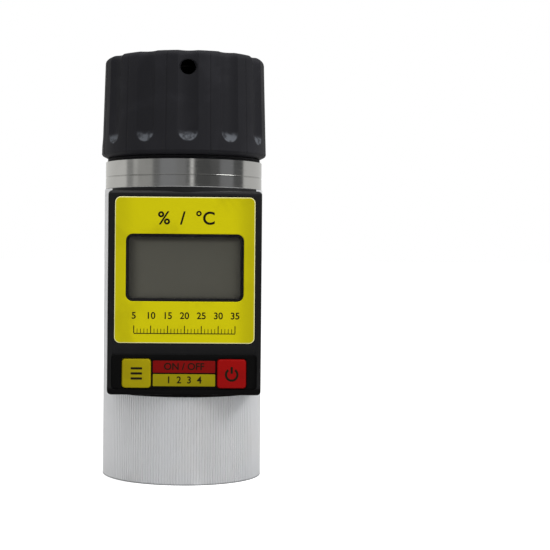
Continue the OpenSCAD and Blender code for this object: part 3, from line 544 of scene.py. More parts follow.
# Painted shade: the label is tinted darker towards both sides
for edge, share in ((label_low.x, 0.5), (label_high.x, 0.75)):
    start = edge - math.copysign(LABEL_SHADE_SPAN, edge)
    painted_side_shade = remap(label_yellow.tree, label_yellow.along("X"), start, edge)
    label_yellow.tint(painted_side_shade, paint(164, 156, 4), share)
label_core_and_highlight = coloured("label_core_and_highlight", paint(226, 222, 160), 0.50, paint(205, 200, 130))
key_yellow = coloured("key_yellow", paint(148, 136, 3), 0.40, paint(134, 121, 3), **PRINTED)
key_red = coloured("key_red", paint(138, 6, 5), 0.40, paint(120, 5, 4), **PRINTED)
strip_yellow = coloured("strip_yellow", paint(136, 126, 5), 0.45, paint(124, 114, 4), **PRINTED)
strip_red = coloured("strip_red", paint(114, 7, 5), 0.45, paint(100, 6, 4), **PRINTED)
print_ink = coloured("print_ink", paint(24, 21, 12), 0.50, paint(34, 30, 16), **PRINTED)
insulator_white = coloured("insulator_white", paint(228, 226, 219), 0.45, paint(214, 210, 198))
indicator_white = coloured("indicator_white", paint(224, 221, 206), 0.38, paint(206, 202, 184))
board_green = coloured("board_green", paint(22, 88, 44), 0.32, paint(18, 74, 38))
lead_red = coloured("lead_red", paint(150, 24, 22), 0.45, paint(126, 20, 18))
cell_wrap = coloured("cell_wrap", paint(148, 150, 153), 0.34, paint(126, 128, 132))
print("coloured finishes made")

# %% [markdown]
# The lens is clear acrylic with a few hairlines, over a display that is switched off. The display lies
# deep behind the window. It is a warm dark grey in its middle, with painted shade towards its edges,
# most of all under the upper edge.

# %% Lens and display finishes
def clear_lens_finish():
    finish = Finish("clear_lens", (1, 1, 1, 1), 0.04, Transmission_Weight=1.0, IOR=1.25)
    finish.shine(finish.effect("hairlines", 90.0)["Scratch"], 0.02, 0.06)
    return finish


DISPLAY_EDGE = 2.6 * MM
DISPLAY_SHADE = 3.5 * MM


def display_finish():
    finish = Finish("display_grey", paint(73, 72, 64), 0.30, Specular_IOR_Level=0.2)
    tree = finish.tree
    low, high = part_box("lcd_glass")
    side = high.x - DISPLAY_EDGE
    top = high.z - DISPLAY_EDGE
    bottom = low.z + DISPLAY_EDGE
    shades = [remap(tree, finish.along("X"), 2 * DISPLAY_SHADE - side, -side, 0, 0.7),
              remap(tree, finish.along("X"), side - 1.5 * DISPLAY_SHADE, side, 0, 0.5),
              remap(tree, finish.along("Z"), top - DISPLAY_SHADE, top, 0, 1),
              remap(tree, finish.along("Z"), bottom + DISPLAY_SHADE / 2, bottom, 0, 0.3)]
    deepest_painted_shade = 0.0
    for shade in shades:
        deepest_painted_shade = combine(tree, "MAXIMUM", shade, deepest_painted_shade)
    # Painted shade: the display is tinted darker near its edges, most of all under the upper edge
    finish.tint(deepest_painted_shade, paint(40, 38, 33))
    return finish


display_grey = display_finish()
clear_lens = clear_lens_finish()
print("lens and display finishes made")

# %% [markdown]
# Now the modelling helpers. An operator acts on all that is selected, so the first helper leaves one
# object selected and active. A modifier is applied as soon as it is set, so that each step works on a
# plain mesh.

# %% Modelling helpers
# Points closer than this are merged into one
SEAM = 0.002 * MM


def choose(piece):
    """Leaves one piece selected and active, or nothing selected."""
    if bpy.context.mode != "OBJECT":
        bpy.ops.object.mode_set(mode="OBJECT")
    bpy.ops.object.select_all(action="DESELECT")
    if piece:
        piece.select_set(True)
        bpy.context.view_layer.objects.active = piece


def edit(piece):
    """Goes into edit mode with all of a piece selected."""
    choose(piece)
    bpy.ops.object.mode_set(mode="EDIT")
    bpy.ops.mesh.select_all(action="SELECT")


def leave_edit():
    bpy.ops.object.mode_set(mode="OBJECT")


def tidy_shell():
    """Merges the seam and the poles of the mesh in edit mode, and points its faces outwards."""
    bpy.ops.mesh.select_all(action="SELECT")
    bpy.ops.mesh.remove_doubles(threshold=SEAM)
    bpy.ops.mesh.normals_make_consistent(inside=False)


def apply_modifier(piece, kind, **settings):
    """Adds a modifier with its settings and applies it."""
    choose(piece)
    modifier = piece.modifiers.new(kind.lower(), kind)
    for name, value in settings.items():
        setattr(modifier, name, value)
    bpy.ops.object.modifier_apply(modifier=modifier.name)


def cut(piece, cutter):
    """Cuts a piece with another one, which is used up."""
    apply_modifier(piece, "BOOLEAN", operation="DIFFERENCE", object=cutter, solver="EXACT")
    bpy.data.objects.remove(cutter)


def smooth(piece, angle):
    """Smooth shading that breaks at edges sharper than an angle in degrees."""
    choose(piece)
    bpy.ops.object.shade_smooth_by_angle(angle=math.radians(angle))


print("modelling helpers ready")

# %% [markdown]
# A turned piece starts as one point that is extruded along its outline and then spun round the axis, as
# a lathe would see it. A full spin ends where it began, so the seam there is merged.

# %% Turned pieces
def arc(r, z, radius, start, end, steps):
    """Outline points [r, z] of a round stretch about a centre, from one angle in degrees to another."""
    turns = [math.radians(start + (end - start) * i / steps) for i in range(steps + 1)]
    return [(r + radius * math.cos(t), z + radius * math.sin(t)) for t in turns]


def turned(name, outline, steps, closed=True):
    """Spins an outline of [r, z] points about Z. An open outline starts and ends on the axis."""
    choose(None)
    bpy.ops.mesh.primitive_plane_add(size=MM)
    piece = bpy.context.object
    piece.name = piece.data.name = name
    bpy.ops.object.mode_set(mode="EDIT")
    bpy.ops.mesh.merge(type="CENTER")
    spots = [Vector((r, 0, z)) for r, z in outline]
    bpy.ops.transform.translate(value=spots[0])
    for start, end in zip(spots, spots[1:]):
        bpy.ops.mesh.extrude_region_move(TRANSFORM_OT_translate={"value": end - start})
    if closed:
        mesh = bmesh.from_edit_mesh(piece.data)
        mesh.verts.ensure_lookup_table()
        mesh.verts[0].select_set(True)
        bmesh.update_edit_mesh(piece.data)
        bpy.ops.mesh.edge_face_add()
    bpy.ops.mesh.select_all(action="SELECT")
    bpy.ops.mesh.spin(steps=steps, angle=2 * math.pi, center=(0, 0, 0), axis=(0, 0, 1))
    tidy_shell()
    leave_edit()
    return piece


print("lathe helpers ready")

# %% [markdown]
# A finished piece is dressed: it takes its finishes, rides on a body of the frame, and stands in for the
# solids that it replaces.

# %% Dressing
def dress(piece, body, slot, replaced, *finishes):
    """Puts a finished piece on its body, with its finishes, in the place of the solids it stands for."""
    choose(None)
    piece.data.materials.clear()
    for finish in finishes:
        piece.data.materials.append(finish.material)
    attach(piece, body)
    if replaced:
        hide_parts(*replaced)
    size = [round(d / MM, 1) for d in piece.dimensions]
    print(piece.name, size, "mm,", len(piece.data.polygons), "faces")


print("dressing helper ready")

# %% [markdown]
# The cap is one black moulding: a fluted grip with a bevelled rim, a shallow dish in its top with a
# well for the indicator stem, and a hollow underside with a boss that guides the stem. A lathe outline
# gives all of that at once. The wall has many rows of points, so that flutes can be pressed into it.

# %% Cap outline
stem_low, stem_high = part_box("indicator_stem")
clip_low, clip_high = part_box("stem_clip")
RIM_R = cap_high.x
CROWN_R = RIM_R - 1.2 * MM
CROWN_ROUND = 3.0 * MM
# Steps in from the crown's round at which points lie on the top, so that the flutes can fade out there
CROWN_STEPS = (1.2 * MM, 2.6 * MM, 4.0 * MM)
BEVEL_W = 3.0 * MM
BEVEL_H = 1.5 * MM
BORE_R = 34.7 * MM
CEILING = cap_high.z - 3.6 * MM
BOSS_UNDER = CEILING - 9 * MM
BOSS_WALL = 2 * MM
DISH_R = CROWN_R - 8 * MM
DISH_Z = cap_high.z - 1.2 * MM
STEM_R = stem_high.x
# Gaps between pieces that are pushed together, and between pieces that run past each other
PUSH_GAP = 0.1 * MM
RUN_GAP = 0.3 * MM
GUIDE_R = STEM_R + PUSH_GAP
WELL_R = clip_high.x + RUN_GAP
WELL_Z = clip_low.z - RUN_GAP
BOSS_R = WELL_R + BOSS_WALL
SOFT = 0.5 * MM
WALL_STEP = 0.55 * MM

rim_z = cap_low.z + BEVEL_H
wall_top = cap_high.z - CROWN_ROUND
wall_rows = round((wall_top - rim_z - SOFT) / WALL_STEP)
wall = []
for row in range(wall_rows + 1):
    share = row / wall_rows
    wall.append((RIM_R + (CROWN_R - RIM_R) * share, rim_z + SOFT + (wall_top - rim_z - SOFT) * share))
cap_outline = [
    (BORE_R + SOFT, cap_low.z), (RIM_R - BEVEL_W, cap_low.z),
    (RIM_R - SOFT, rim_z - SOFT * BEVEL_H / BEVEL_W), *wall,
    *arc(CROWN_R - CROWN_ROUND, wall_top, CROWN_ROUND, 0, 90, 8)[1:],
    *[(CROWN_R - CROWN_ROUND - step, cap_high.z) for step in CROWN_STEPS],
    *arc(DISH_R + SOFT, cap_high.z - SOFT, SOFT, 90, 180, 3), (DISH_R, DISH_Z + SOFT / 2),
    (DISH_R - SOFT, DISH_Z), (WELL_R + SOFT, DISH_Z),
    *arc(WELL_R + SOFT, DISH_Z - SOFT, SOFT, 90, 180, 3)[1:], (WELL_R, WELL_Z), (GUIDE_R, WELL_Z),
    (GUIDE_R, BOSS_UNDER), (BOSS_R - SOFT, BOSS_UNDER), (BOSS_R, BOSS_UNDER + SOFT),
    (BOSS_R, CEILING), (BORE_R, CEILING), (BORE_R, cap_low.z + SOFT),
]
print("cap outline of", len(cap_outline), "points,", wall_rows, "rows on its wall")

# %% [markdown]
# The flutes are pressed into the spun wall by the formula of a round-nosed cutter: a round channel that
# ends in part of a ball. Boolean cuts would leave their edges too sharp. A fine crease runs up between
# each two flutes, and on the top the flutes fade out towards the dish.

# %% Cap, spun and fluted
CAP_STEPS = 720
# Angle at which the cap stands on the neck, with its front flute a little to the right
CAP_TURN = math.radians(1.4)
FLUTES = 12
FLUTE_HALF = 4.8 * MM
FLUTE_DEPTH = 2.0 * MM
FLUTE_EDGE = 0.06 * MM
FLUTE_END = cap_low.z + 6.2 * MM
flute_cut = FLUTE_DEPTH - (RIM_R - math.sqrt(RIM_R ** 2 - FLUTE_HALF ** 2))
FLUTE_R = (FLUTE_HALF ** 2 + flute_cut ** 2) / (2 * flute_cut)
FLUTE_BALL_Z = FLUTE_END + math.sqrt(FLUTE_R ** 2 - (FLUTE_R - FLUTE_DEPTH) ** 2)
CREASE_HALF = 0.45 * MM
CREASE_DEPTH = 0.25 * MM


def ease(share):
    """Rises smoothly from 0 to 1, and stays there on both sides."""
    share = min(1, max(0, share))
    return share * share * (3 - 2 * share)


def off_centre(angle, count, start=0.0):
    """Angle from the nearest of count places round the axis."""
    pitch = 2 * math.pi / count
    return (angle - start + pitch / 2) % pitch - pitch / 2


def pressed_in(angle, z):
    """How deep the wall of the cap is pressed in at an angle and a height."""
    across = RIM_R * math.sin(off_centre(angle, FLUTES))
    below = max(0, FLUTE_BALL_Z - z)
    ball = math.sqrt(max(0, FLUTE_R ** 2 - across ** 2 - below ** 2))
    flute = ball - (FLUTE_R - FLUTE_DEPTH) - across ** 2 / (2 * RIM_R)
    flute = (flute + math.hypot(flute, FLUTE_EDGE)) / 2
    beside = abs(RIM_R * off_centre(angle, FLUTES, math.pi / FLUTES))
    crease = CREASE_DEPTH * max(0, 1 - beside / CREASE_HALF) * ease((z - cap_low.z) / BEVEL_H)
    return flute + crease


cap = turned("cap", cap_outline, CAP_STEPS)
for vertex in cap.data.vertices:
    x, y, z = vertex.co
    r = math.hypot(x, y)
    on_top = z > CEILING + MM and r > DISH_R
    if on_top or r > BORE_R + MM:
        share = ease((r - DISH_R) / (CROWN_R - CROWN_ROUND - DISH_R)) if on_top else 1
        inward = share * pressed_in(math.atan2(y, x), z) / r
        vertex.co = (x * (1 - inward), y * (1 - inward), z)
cap.data.transform(Matrix.Rotation(CAP_TURN, 4, "Z"))
print("cap with", FLUTES, "flutes,", len(cap.data.vertices), "points")

# %% [markdown]
# The cord hole goes through the wall at the head of the front flute. Its cutter is a small turned bar
# with a flared mouth, laid along Y, so the Boolean leaves a softened edge.

# %% Cord hole
CORD_HOLE_R = 3.5 * MM
CORD_HOLE_Z = cap_high.z - 7.8 * MM
CORD_FLARE = 0.45 * MM
MOUTH_SINK = 0.6 * MM
# How far a cutter reaches past what it cuts
CUT_PAST = 2 * MM

mouth = MOUTH_SINK + FLUTE_DEPTH - RIM_R
flared = [(0, -CROWN_R - CUT_PAST), (CORD_HOLE_R + 4 * CORD_FLARE, -CROWN_R - CUT_PAST),
          (CORD_HOLE_R + CORD_FLARE, mouth), (CORD_HOLE_R, mouth + 2 * CORD_FLARE),
          (CORD_HOLE_R, -BORE_R + CUT_PAST), (0, -BORE_R + CUT_PAST)]
cutter = turned("cord_hole_cutter", flared, steps=48, closed=False)
cutter.data.transform(Matrix.Rotation(-math.pi / 2, 4, "X"))
cutter.data.transform(Matrix.Translation((0, 0, CORD_HOLE_Z)) @ Matrix.Rotation(CAP_TURN, 4, "Z"))
cut(cap, cutter)
smooth(cap, 32)
dress(cap, "cap", "cap_black", ["cap_shell"], cap_black)

# %% [markdown]
# The thread inside the cap is a ridge: four points carried up a helix by the Screw modifier, with both
# ends closed. It stops short of the rim, so it stays out of sight until the cap is lifted.

# %% Cap thread
THREAD_Z = cap_low.z + 2.5 * MM
THREAD_LEAD = 6 * MM
THREAD_RIDGE = 1.2 * MM
THREAD_FOOT = 1.2 * MM
THREAD_CREST = 0.55 * MM
THREAD_SINK = 0.3 * MM
CAP_THREAD_TURNS = 1.2
TURN_STEPS = 96


def wound(name, section, r, z, rise, turns):
    """Carries a closed section of [out, up] points up a helix about Z and closes its ends."""
    choose(None)
    bpy.ops.mesh.primitive_circle_add(vertices=len(section), radius=MM)
    piece = bpy.context.object
    piece.name = piece.data.name = name
    for vertex, (out, up) in zip(piece.data.vertices, section):
        vertex.co = (r + out, 0, z + up)
    steps = round(TURN_STEPS * turns)
    apply_modifier(piece, "SCREW", angle=2 * math.pi * turns, screw_offset=rise, steps=steps,
                   render_steps=steps, iterations=1, axis="Z", use_merge_vertices=False)
    edit(piece)
    bpy.ops.mesh.select_all(action="DESELECT")
    bpy.ops.mesh.select_non_manifold()
    bpy.ops.mesh.fill_holes(sides=0)
    tidy_shell()
    leave_edit()
    return piece


cap_ridge = [(-THREAD_RIDGE, -THREAD_CREST), (THREAD_SINK, -THREAD_FOOT), (THREAD_SINK, THREAD_FOOT),
             (-THREAD_RIDGE, THREAD_CREST)]
cap_thread = wound("cap_thread", cap_ridge, BORE_R, THREAD_Z + THREAD_LEAD / 2,
                   CAP_THREAD_TURNS * THREAD_LEAD, CAP_THREAD_TURNS)
smooth(cap_thread, 30)
dress(cap_thread, "cap", "cap_black", [], cap_black)

# %% [markdown]
# The cup is turned from one bar: a bright collar with a single cut line, a threaded neck above it and
# a deep bore. Only the collar shows when the meter is closed, and there the metal mirrors the studio,
# so the spin has many steps and the edges are broken by small chamfers, as a turner would do.

# %% Cup outline
cup_low, cup_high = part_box("measuring_cup")
seal_low, seal_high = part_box("neck_seal")
COLLAR_R = cup_high.x
COLLAR_LOW = tube_high.z
COLLAR_TOP = seal_low.z
NECK_R = 33.0 * MM
CUP_BORE_R = 29.5 * MM
CUP_R = 32.0 * MM
SPIGOT_R = 34.9 * MM
SPIGOT_H = 4 * MM
CUP_FLOOR = cup_low.z + 3 * MM
BUSH_HOLE_R = 6.1 * MM
COLLAR_CHAMFER = 0.8 * MM
LINE_Z = COLLAR_LOW + 5.7 * MM
LINE = 0.3 * MM
BREAK = 0.35 * MM
ROUND = 1.2 * MM

cup_outline = [
    (BUSH_HOLE_R, cup_low.z), (CUP_R - BREAK, cup_low.z), (CUP_R, cup_low.z + BREAK),
    (CUP_R, COLLAR_LOW - SPIGOT_H), (SPIGOT_R, COLLAR_LOW - SPIGOT_H), (SPIGOT_R, COLLAR_LOW),
    (COLLAR_R - BREAK, COLLAR_LOW), (COLLAR_R, COLLAR_LOW + BREAK), (COLLAR_R, LINE_Z - LINE),
    (COLLAR_R - LINE, LINE_Z - LINE / 3), (COLLAR_R - LINE, LINE_Z + LINE / 3), (COLLAR_R, LINE_Z + LINE),
    (COLLAR_R, COLLAR_TOP - COLLAR_CHAMFER), (COLLAR_R - COLLAR_CHAMFER, COLLAR_TOP),
    (NECK_R, COLLAR_TOP), (NECK_R, cup_high.z - ROUND),
    *arc(NECK_R - ROUND, cup_high.z - ROUND, ROUND, 0, 90, 5)[1:], (CUP_BORE_R + BREAK, cup_high.z),
    (CUP_BORE_R, cup_high.z - BREAK), (CUP_BORE_R, CUP_FLOOR + ROUND),
    *arc(CUP_BORE_R - ROUND, CUP_FLOOR + ROUND, ROUND, 360, 270, 5)[1:], (BUSH_HOLE_R, CUP_FLOOR),
]
print("cup outline of", len(cup_outline), "points")

# %% [markdown]
# The temperature sensor sits off the axis in the floor of the cup, so a plain turned bar cuts a hole
# for it. The thread of the neck is wound as the cap's is, with its ridge on the outside.

# %% Cup, spun and bored
sensor_low, sensor_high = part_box("temperature_sensor")
SENSOR_FLANGE = 2 * MM
NECK_THREAD_TURNS = 1.8

cup = turned("cup", cup_outline, steps=360)
sensor_hole_r = (sensor_high.x - sensor_low.x) / 2 - SENSOR_FLANGE + PUSH_GAP
sensor_y = (sensor_low.y + sensor_high.y) / 2
hole_low = cup_low.z - CUT_PAST
hole_top = CUP_FLOOR + CUT_PAST
hole = [(0, hole_low), (sensor_hole_r, hole_low), (sensor_hole_r, hole_top), (0, hole_top)]
cutter = turned("sensor_hole_cutter", hole, steps=32, closed=False)
cutter.data.transform(Matrix.Translation((0, sensor_y, 0)))
cut(cup, cutter)
smooth(cup, 25)
dress(cup, "meter_body", "turned_metal", ["measuring_cup"], turned_metal)

neck_ridge = [(-THREAD_SINK, -THREAD_FOOT), (THREAD_RIDGE, -THREAD_CREST), (THREAD_RIDGE, THREAD_CREST),
              (-THREAD_SINK, THREAD_FOOT)]
neck_thread = wound("neck_thread", neck_ridge, NECK_R, THREAD_Z, NECK_THREAD_TURNS * THREAD_LEAD,
                    NECK_THREAD_TURNS)
smooth(neck_thread, 30)
dress(neck_thread, "meter_body", "turned_metal", [], turned_metal)

# %% [markdown]
# The seal is a flat rubber ring under the cap. Its corners are rounded, because a cut rubber ring never
# has a hard edge.

# %% Seal
SEAL_ROUND = 0.4 * MM


def ring_outline(low, high, inner_r, outer_r, edge):
    """Outline of a flat ring with round edges."""
    inner, outer = inner_r + edge, outer_r - edge
    return [*arc(inner, low + edge, edge, 180, 270, 3), *arc(outer, low + edge, edge, 270, 360, 3),
            *arc(outer, high - edge, edge, 0, 90, 3), *arc(inner, high - edge, edge, 90, 180, 3)]


seal_ring = ring_outline(seal_low.z, seal_high.z, NECK_R + PUSH_GAP, seal_high.x, SEAL_ROUND)
seal = turned("seal", seal_ring, steps=256)
smooth(seal, 40)
dress(seal, "meter_body", "seal_rubber", ["neck_seal"], seal_rubber)

# %% [markdown]
# The pressing gear hangs in the cap: a plate with a hub, a pale stem that rises in the well as the grain
# pushes back, and a washer over the spring. All three are turned pieces, so each is one spun outline.

# %% Plate, stem and washer
plate_low, plate_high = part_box("pressure_plate")
washer_low, washer_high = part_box("spring_washer")
PLATE_TOP = plate_low.z + 3 * MM
HUB_R = STEM_R + 3 * MM
SOCKET_R = STEM_R + PUSH_GAP
SOCKET_FLOOR = stem_low.z - PUSH_GAP / 2
STEM_GROOVE = 0.8 * MM
WASHER_BREAK = 0.25 * MM

plate = turned("press_plate", [
    (0, plate_low.z), (plate_high.x - BREAK, plate_low.z), (plate_high.x, plate_low.z + BREAK),
    (plate_high.x, PLATE_TOP - BREAK), (plate_high.x - BREAK, PLATE_TOP), (HUB_R + ROUND, PLATE_TOP),
    *arc(HUB_R + ROUND, PLATE_TOP + ROUND, ROUND, 270, 180, 4)[1:], (HUB_R, plate_high.z - BREAK),
    (HUB_R - BREAK, plate_high.z), (SOCKET_R, plate_high.z), (SOCKET_R, SOCKET_FLOOR),
    (0, SOCKET_FLOOR)], steps=256, closed=False)
smooth(plate, 25)
dress(plate, "press_plate", "electrode_metal", ["pressure_plate"], electrode_metal)

stem = turned("stem", [
    (0, stem_low.z), (STEM_R, stem_low.z), (STEM_R, clip_low.z), (STEM_R - STEM_GROOVE, clip_low.z),
    (STEM_R - STEM_GROOVE, clip_high.z), (STEM_R, clip_high.z),
    *arc(STEM_R - SOFT, stem_high.z - SOFT, SOFT, 0, 90, 4), (0, stem_high.z)], steps=96, closed=False)
smooth(stem, 30)
dress(stem, "press_plate", "indicator_white", ["indicator_stem"], indicator_white)

washer_ring = ring_outline(washer_low.z, washer_high.z, BOSS_R + RUN_GAP, washer_high.x, WASHER_BREAK)
washer = turned("washer", washer_ring, steps=128)
smooth(washer, 40)
dress(washer, "cap_carrier", "steel", ["spring_washer"], spring_steel)

# %% [markdown]
# The spring is a round wire wound up a helix, so it is made as the threads are, with a round section.
# Its upper end stays under the washer.

# %% Spring
spring_low, spring_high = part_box("pressure_spring")
WIRE_R = 1.1 * MM
WIRE_SIDES = 14
SPRING_TURNS = 5

spring_rise = spring_high.z - spring_low.z - 2 * WIRE_R
wire = arc(0, 0, WIRE_R, 0, 360, WIRE_SIDES)[:-1]
spring = wound("spring", wire, spring_high.x - WIRE_R, spring_low.z + WIRE_R, spring_rise, SPRING_TURNS)
smooth(spring, 50)
dress(spring, "cap_carrier", "steel", ["pressure_spring"], spring_steel)
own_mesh(spring)

# %% [markdown]
# Some pieces keep the shape of their solid. A solid comes in as loose triangles, so its copy is first
# merged and its flat faces are dissolved into whole ones. A bevel then breaks the sharp edges.

# %% Copies of solids
MERGE = 0.003 * MM
FLAT = math.radians(0.6)
SHARP = math.radians(32)


def copy_of(node, name):
    """A merged copy of a solid's mesh, as an object of its own."""
    piece = bpy.data.objects.new(name, nodes[node].data.copy())
    piece.data.name = name
    piece.data.materials.clear()
    scene.collection.objects.link(piece)
    edit(piece)
    bpy.ops.mesh.remove_doubles(threshold=MERGE)
    bpy.ops.mesh.dissolve_limited(angle_limit=FLAT)
    leave_edit()
    return piece


def soften(piece, width):
    """Bevels the sharp edges of a piece."""
    apply_modifier(piece, "BEVEL", width=width, segments=2, limit_method="ANGLE", angle_limit=SHARP)


print("copy helpers ready")

# %% [markdown]
# The display housing keeps its pockets, holes and bosses. A ramp is cut at the head of the keypad
# recess by a cube whose corners are moved to make a wedge, and a small bevel breaks every sharp edge.

# %% Display housing
_, panel_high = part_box("keypad_panel")
FRONT_Y = housing_low.y
RECESS_Y = FRONT_Y + 0.8 * MM
RECESS_TOP = panel_high.z + RUN_GAP
RAMP_HALF = panel_high.x - 0.2 * MM
RAMP_RISE = 1.7 * MM
RAMP_PAST = 1 * MM
HOUSING_EDGE = 0.22 * MM

housing = copy_of("display_housing", "housing")
choose(None)
bpy.ops.mesh.primitive_cube_add(size=1)
ramp = bpy.context.object
before_y, under_z = FRONT_Y - RAMP_PAST, RECESS_TOP - RAMP_PAST
# The ramp's slope goes on to where the wedge ends in front of the housing
over_z = RECESS_TOP + RAMP_RISE * (1 + RAMP_PAST / (RECESS_Y - FRONT_Y))
corners = {(-1, -1): (before_y, under_z), (1, -1): (RECESS_Y, under_z),
           (-1, 1): (before_y, over_z), (1, 1): (RECESS_Y, RECESS_TOP)}
for vertex in ramp.data.vertices:
    side = math.copysign(1, vertex.co.x)
    y, z = corners[math.copysign(1, vertex.co.y), math.copysign(1, vertex.co.z)]
    vertex.co = (side * RAMP_HALF, y, z)
cut(housing, ramp)
soften(housing, HOUSING_EDGE)
smooth(housing, 35)
dress(housing, "meter_body", "housing_black", ["display_housing"], housing_black)

# %% [markdown]
# Label, lens, strips and keys are plates with round corners. A cube is stretched to the plate's size, and
# the edges that run along Y are bevelled round. The front edges get a bevel of their own. Edges and faces
# are selected by their place and their normal.

# %% Plates
# Places closer than this count as one, and a normal this far along an axis as facing that way
NEAR = 0.01 * MM
FACING = 0.99


def rounded_plate(name, low, high, corner, steps=8):
    """A plate between two corners, with its edges along Y rounded."""
    choose(None)
    bpy.ops.mesh.primitive_cube_add(size=1)
    piece = bpy.context.object
    piece.name = piece.data.name = name
    middle, size = (low + high) / 2, high - low
    piece.data.transform(Matrix.Translation(middle) @ Matrix.Diagonal((*size, 1)))
    edit(piece)
    bpy.ops.mesh.select_all(action="DESELECT")
    bpy.ops.mesh.select_mode(type="EDGE")
    mesh = bmesh.from_edit_mesh(piece.data)
    for edge in mesh.edges:
        start, end = (v.co for v in edge.verts)
        edge.select_set(abs(start.x - end.x) + abs(start.z - end.z) < NEAR)
    bmesh.update_edit_mesh(piece.data)
    bpy.ops.mesh.bevel(offset=corner, segments=steps, affect="EDGES")
    leave_edit()
    return piece


def soften_front(piece, width, segments=3, material=-1):
    """Bevels the outlines of all the faces that look to the front."""
    edit(piece)
    bpy.ops.mesh.select_all(action="DESELECT")
    bpy.ops.mesh.select_mode(type="FACE")
    mesh = bmesh.from_edit_mesh(piece.data)
    front = min(v.co.y for v in mesh.verts)
    for face in mesh.faces:
        face.select_set(face.normal.y < -FACING and abs(face.calc_center_median().y - front) < NEAR)
    bmesh.update_edit_mesh(piece.data)
    bpy.ops.mesh.region_to_loop()
    bpy.ops.mesh.bevel(offset=width, segments=segments, affect="EDGES", material=material)
    leave_edit()


print("plate helpers ready")

# %% [markdown]
# The face label is a thick printed film in a shallow pocket. Its window is cut with another such plate.
# The bevel of its front takes a pale second finish, which stands for the film's pale core and is also a
# painted highlight, apart from the part round the window.

# %% Face label
lens_low, lens_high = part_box("window_lens")
LABEL_CORNER = 2.6 * MM
WINDOW_CORNER = 3.2 * MM
LENS_LAP = 1.2 * MM
LABEL_EDGE = 0.34 * MM
window_low = Vector((lens_low.x + LENS_LAP, label_low.y - CUT_PAST, lens_low.z + LENS_LAP))
window_high = Vector((lens_high.x - LENS_LAP, label_high.y + CUT_PAST, lens_high.z - LENS_LAP))

label = rounded_plate("label", label_low, label_high, LABEL_CORNER)
cut(label, rounded_plate("window_cutter", window_low, window_high, WINDOW_CORNER))
for finish in (label_yellow, label_core_and_highlight):
    label.data.materials.append(finish.material)
soften_front(label, LABEL_EDGE, segments=2, material=1)
smooth(label, 20)


def by_window(spot):
    """True within a millimetre of the window."""
    return all(window_low[i] - MM < spot[i] < window_high[i] + MM for i in (0, 2))


# These faces carry the pale core finish, which also serves as a painted highlight along the edge
core_and_highlight_faces = [face.index for face in label.data.polygons
              if face.material_index == 1 and not by_window(face.center)]
dress(label, "meter_body", "label_yellow", ["face_label"], label_yellow, label_core_and_highlight)
for index in core_and_highlight_faces:
    label.data.polygons[index].material_index = 1
print(len(core_and_highlight_faces), "faces of the label show its core")

# %% [markdown]
# The lens is a clear plate behind the window, the overlay a copy of its solid, and the strips are thin
# printed chips. Lamp light that bends through a lens renders as slow, blotchy noise, so the lens casts no
# shadow and soft light passes it as if it weren't there. The camera still sees its gloss.

# %% Lens, overlay and strips
LENS_EDGE = 0.12 * MM
STRIP_CORNER = 0.4 * MM
STRIP_EDGE = 0.16 * MM
OVERLAY_EDGE = 0.1 * MM

lens = rounded_plate("lens", lens_low, lens_high, WINDOW_CORNER)
soften_front(lens, LENS_EDGE, segments=2)
smooth(lens, 20)
lens.visible_shadow = False
lens.visible_diffuse = False
dress(lens, "meter_body", "clear_lens", ["window_lens"], clear_lens)

overlay = copy_of("keypad_panel", "overlay")
soften(overlay, OVERLAY_EDGE)
smooth(overlay, 40)
dress(overlay, "meter_body", "panel_black", ["keypad_panel"], panel_black)

for name, node, slot, finish in (("red_strip", "power_strip", "key_red", strip_red),
                                 ("yellow_strip", "function_strip", "key_yellow", strip_yellow)):
    strip = rounded_plate(name, *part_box(node), STRIP_CORNER, steps=5)
    soften_front(strip, STRIP_EDGE)
    smooth(strip, 40)
    dress(strip, "meter_body", slot, [node], finish)

# %% [markdown]
# A key is moulded with a full round at its front. It keeps its flange, which stops it behind the front
# wall, so it is modelled as two plates joined into one. Its face lies back by the thickness of its print.

# %% Keys
KEY_CORNER = 1.5 * MM
KEY_EDGE = 0.75 * MM
KEY_FLANGE = 1.1 * MM
FLANGE_FRONT = FRONT_Y + 2.1 * MM
# Thickness of print on a surface
INK = 0.03 * MM


def make_key(name, node, slot, finish):
    """A round-edged key, joined to the wider flange behind it."""
    low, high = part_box(node)
    rim = Vector((KEY_FLANGE, 0, KEY_FLANGE))
    key = rounded_plate(name, low + rim + Vector((0, INK, 0)), high - rim, KEY_CORNER)
    soften_front(key, KEY_EDGE, segments=5)
    flange = rounded_plate(name + "_flange", Vector((low.x, FLANGE_FRONT, low.z)), high, KEY_CORNER)
    apply_modifier(key, "BOOLEAN", operation="UNION", object=flange, solver="EXACT")
    bpy.data.objects.remove(flange)
    smooth(key, 40)
    dress(key, node, slot, [node], finish)


make_key("function_key_cap", "function_key", "key_yellow", key_yellow)
make_key("power_key_cap", "power_key", "key_red", key_red)

# %% [markdown]
# All print is generic. Each mark is a real, very thin piece on its surface. Letters start as text, which
# becomes a mesh before it is stood upright. Bars are small plates, joined into one piece.

# %% Print helpers
STAND_UP = Matrix.Rotation(math.pi / 2, 4, "X")


def print_text(name, words, height, weight, x, z, surface_y):
    """Words of this height, with strokes made bolder by a weight, centred on x and z on a front face."""
    choose(None)
    bpy.ops.object.text_add()
    mark = bpy.context.object
    mark.name = name
    mark.data.body = words
    mark.data.size = height
    mark.data.extrude = INK
    mark.data.offset = weight
    mark.data.align_x = "CENTER"
    mark.data.align_y = "CENTER"
    bpy.ops.object.convert(target="MESH")
    mark = bpy.context.object
    mark.data.name = name
    mark.data.transform(Matrix.Translation((x, surface_y, z)) @ STAND_UP)
    edit(mark)
    tidy_shell()
    leave_edit()
    return mark


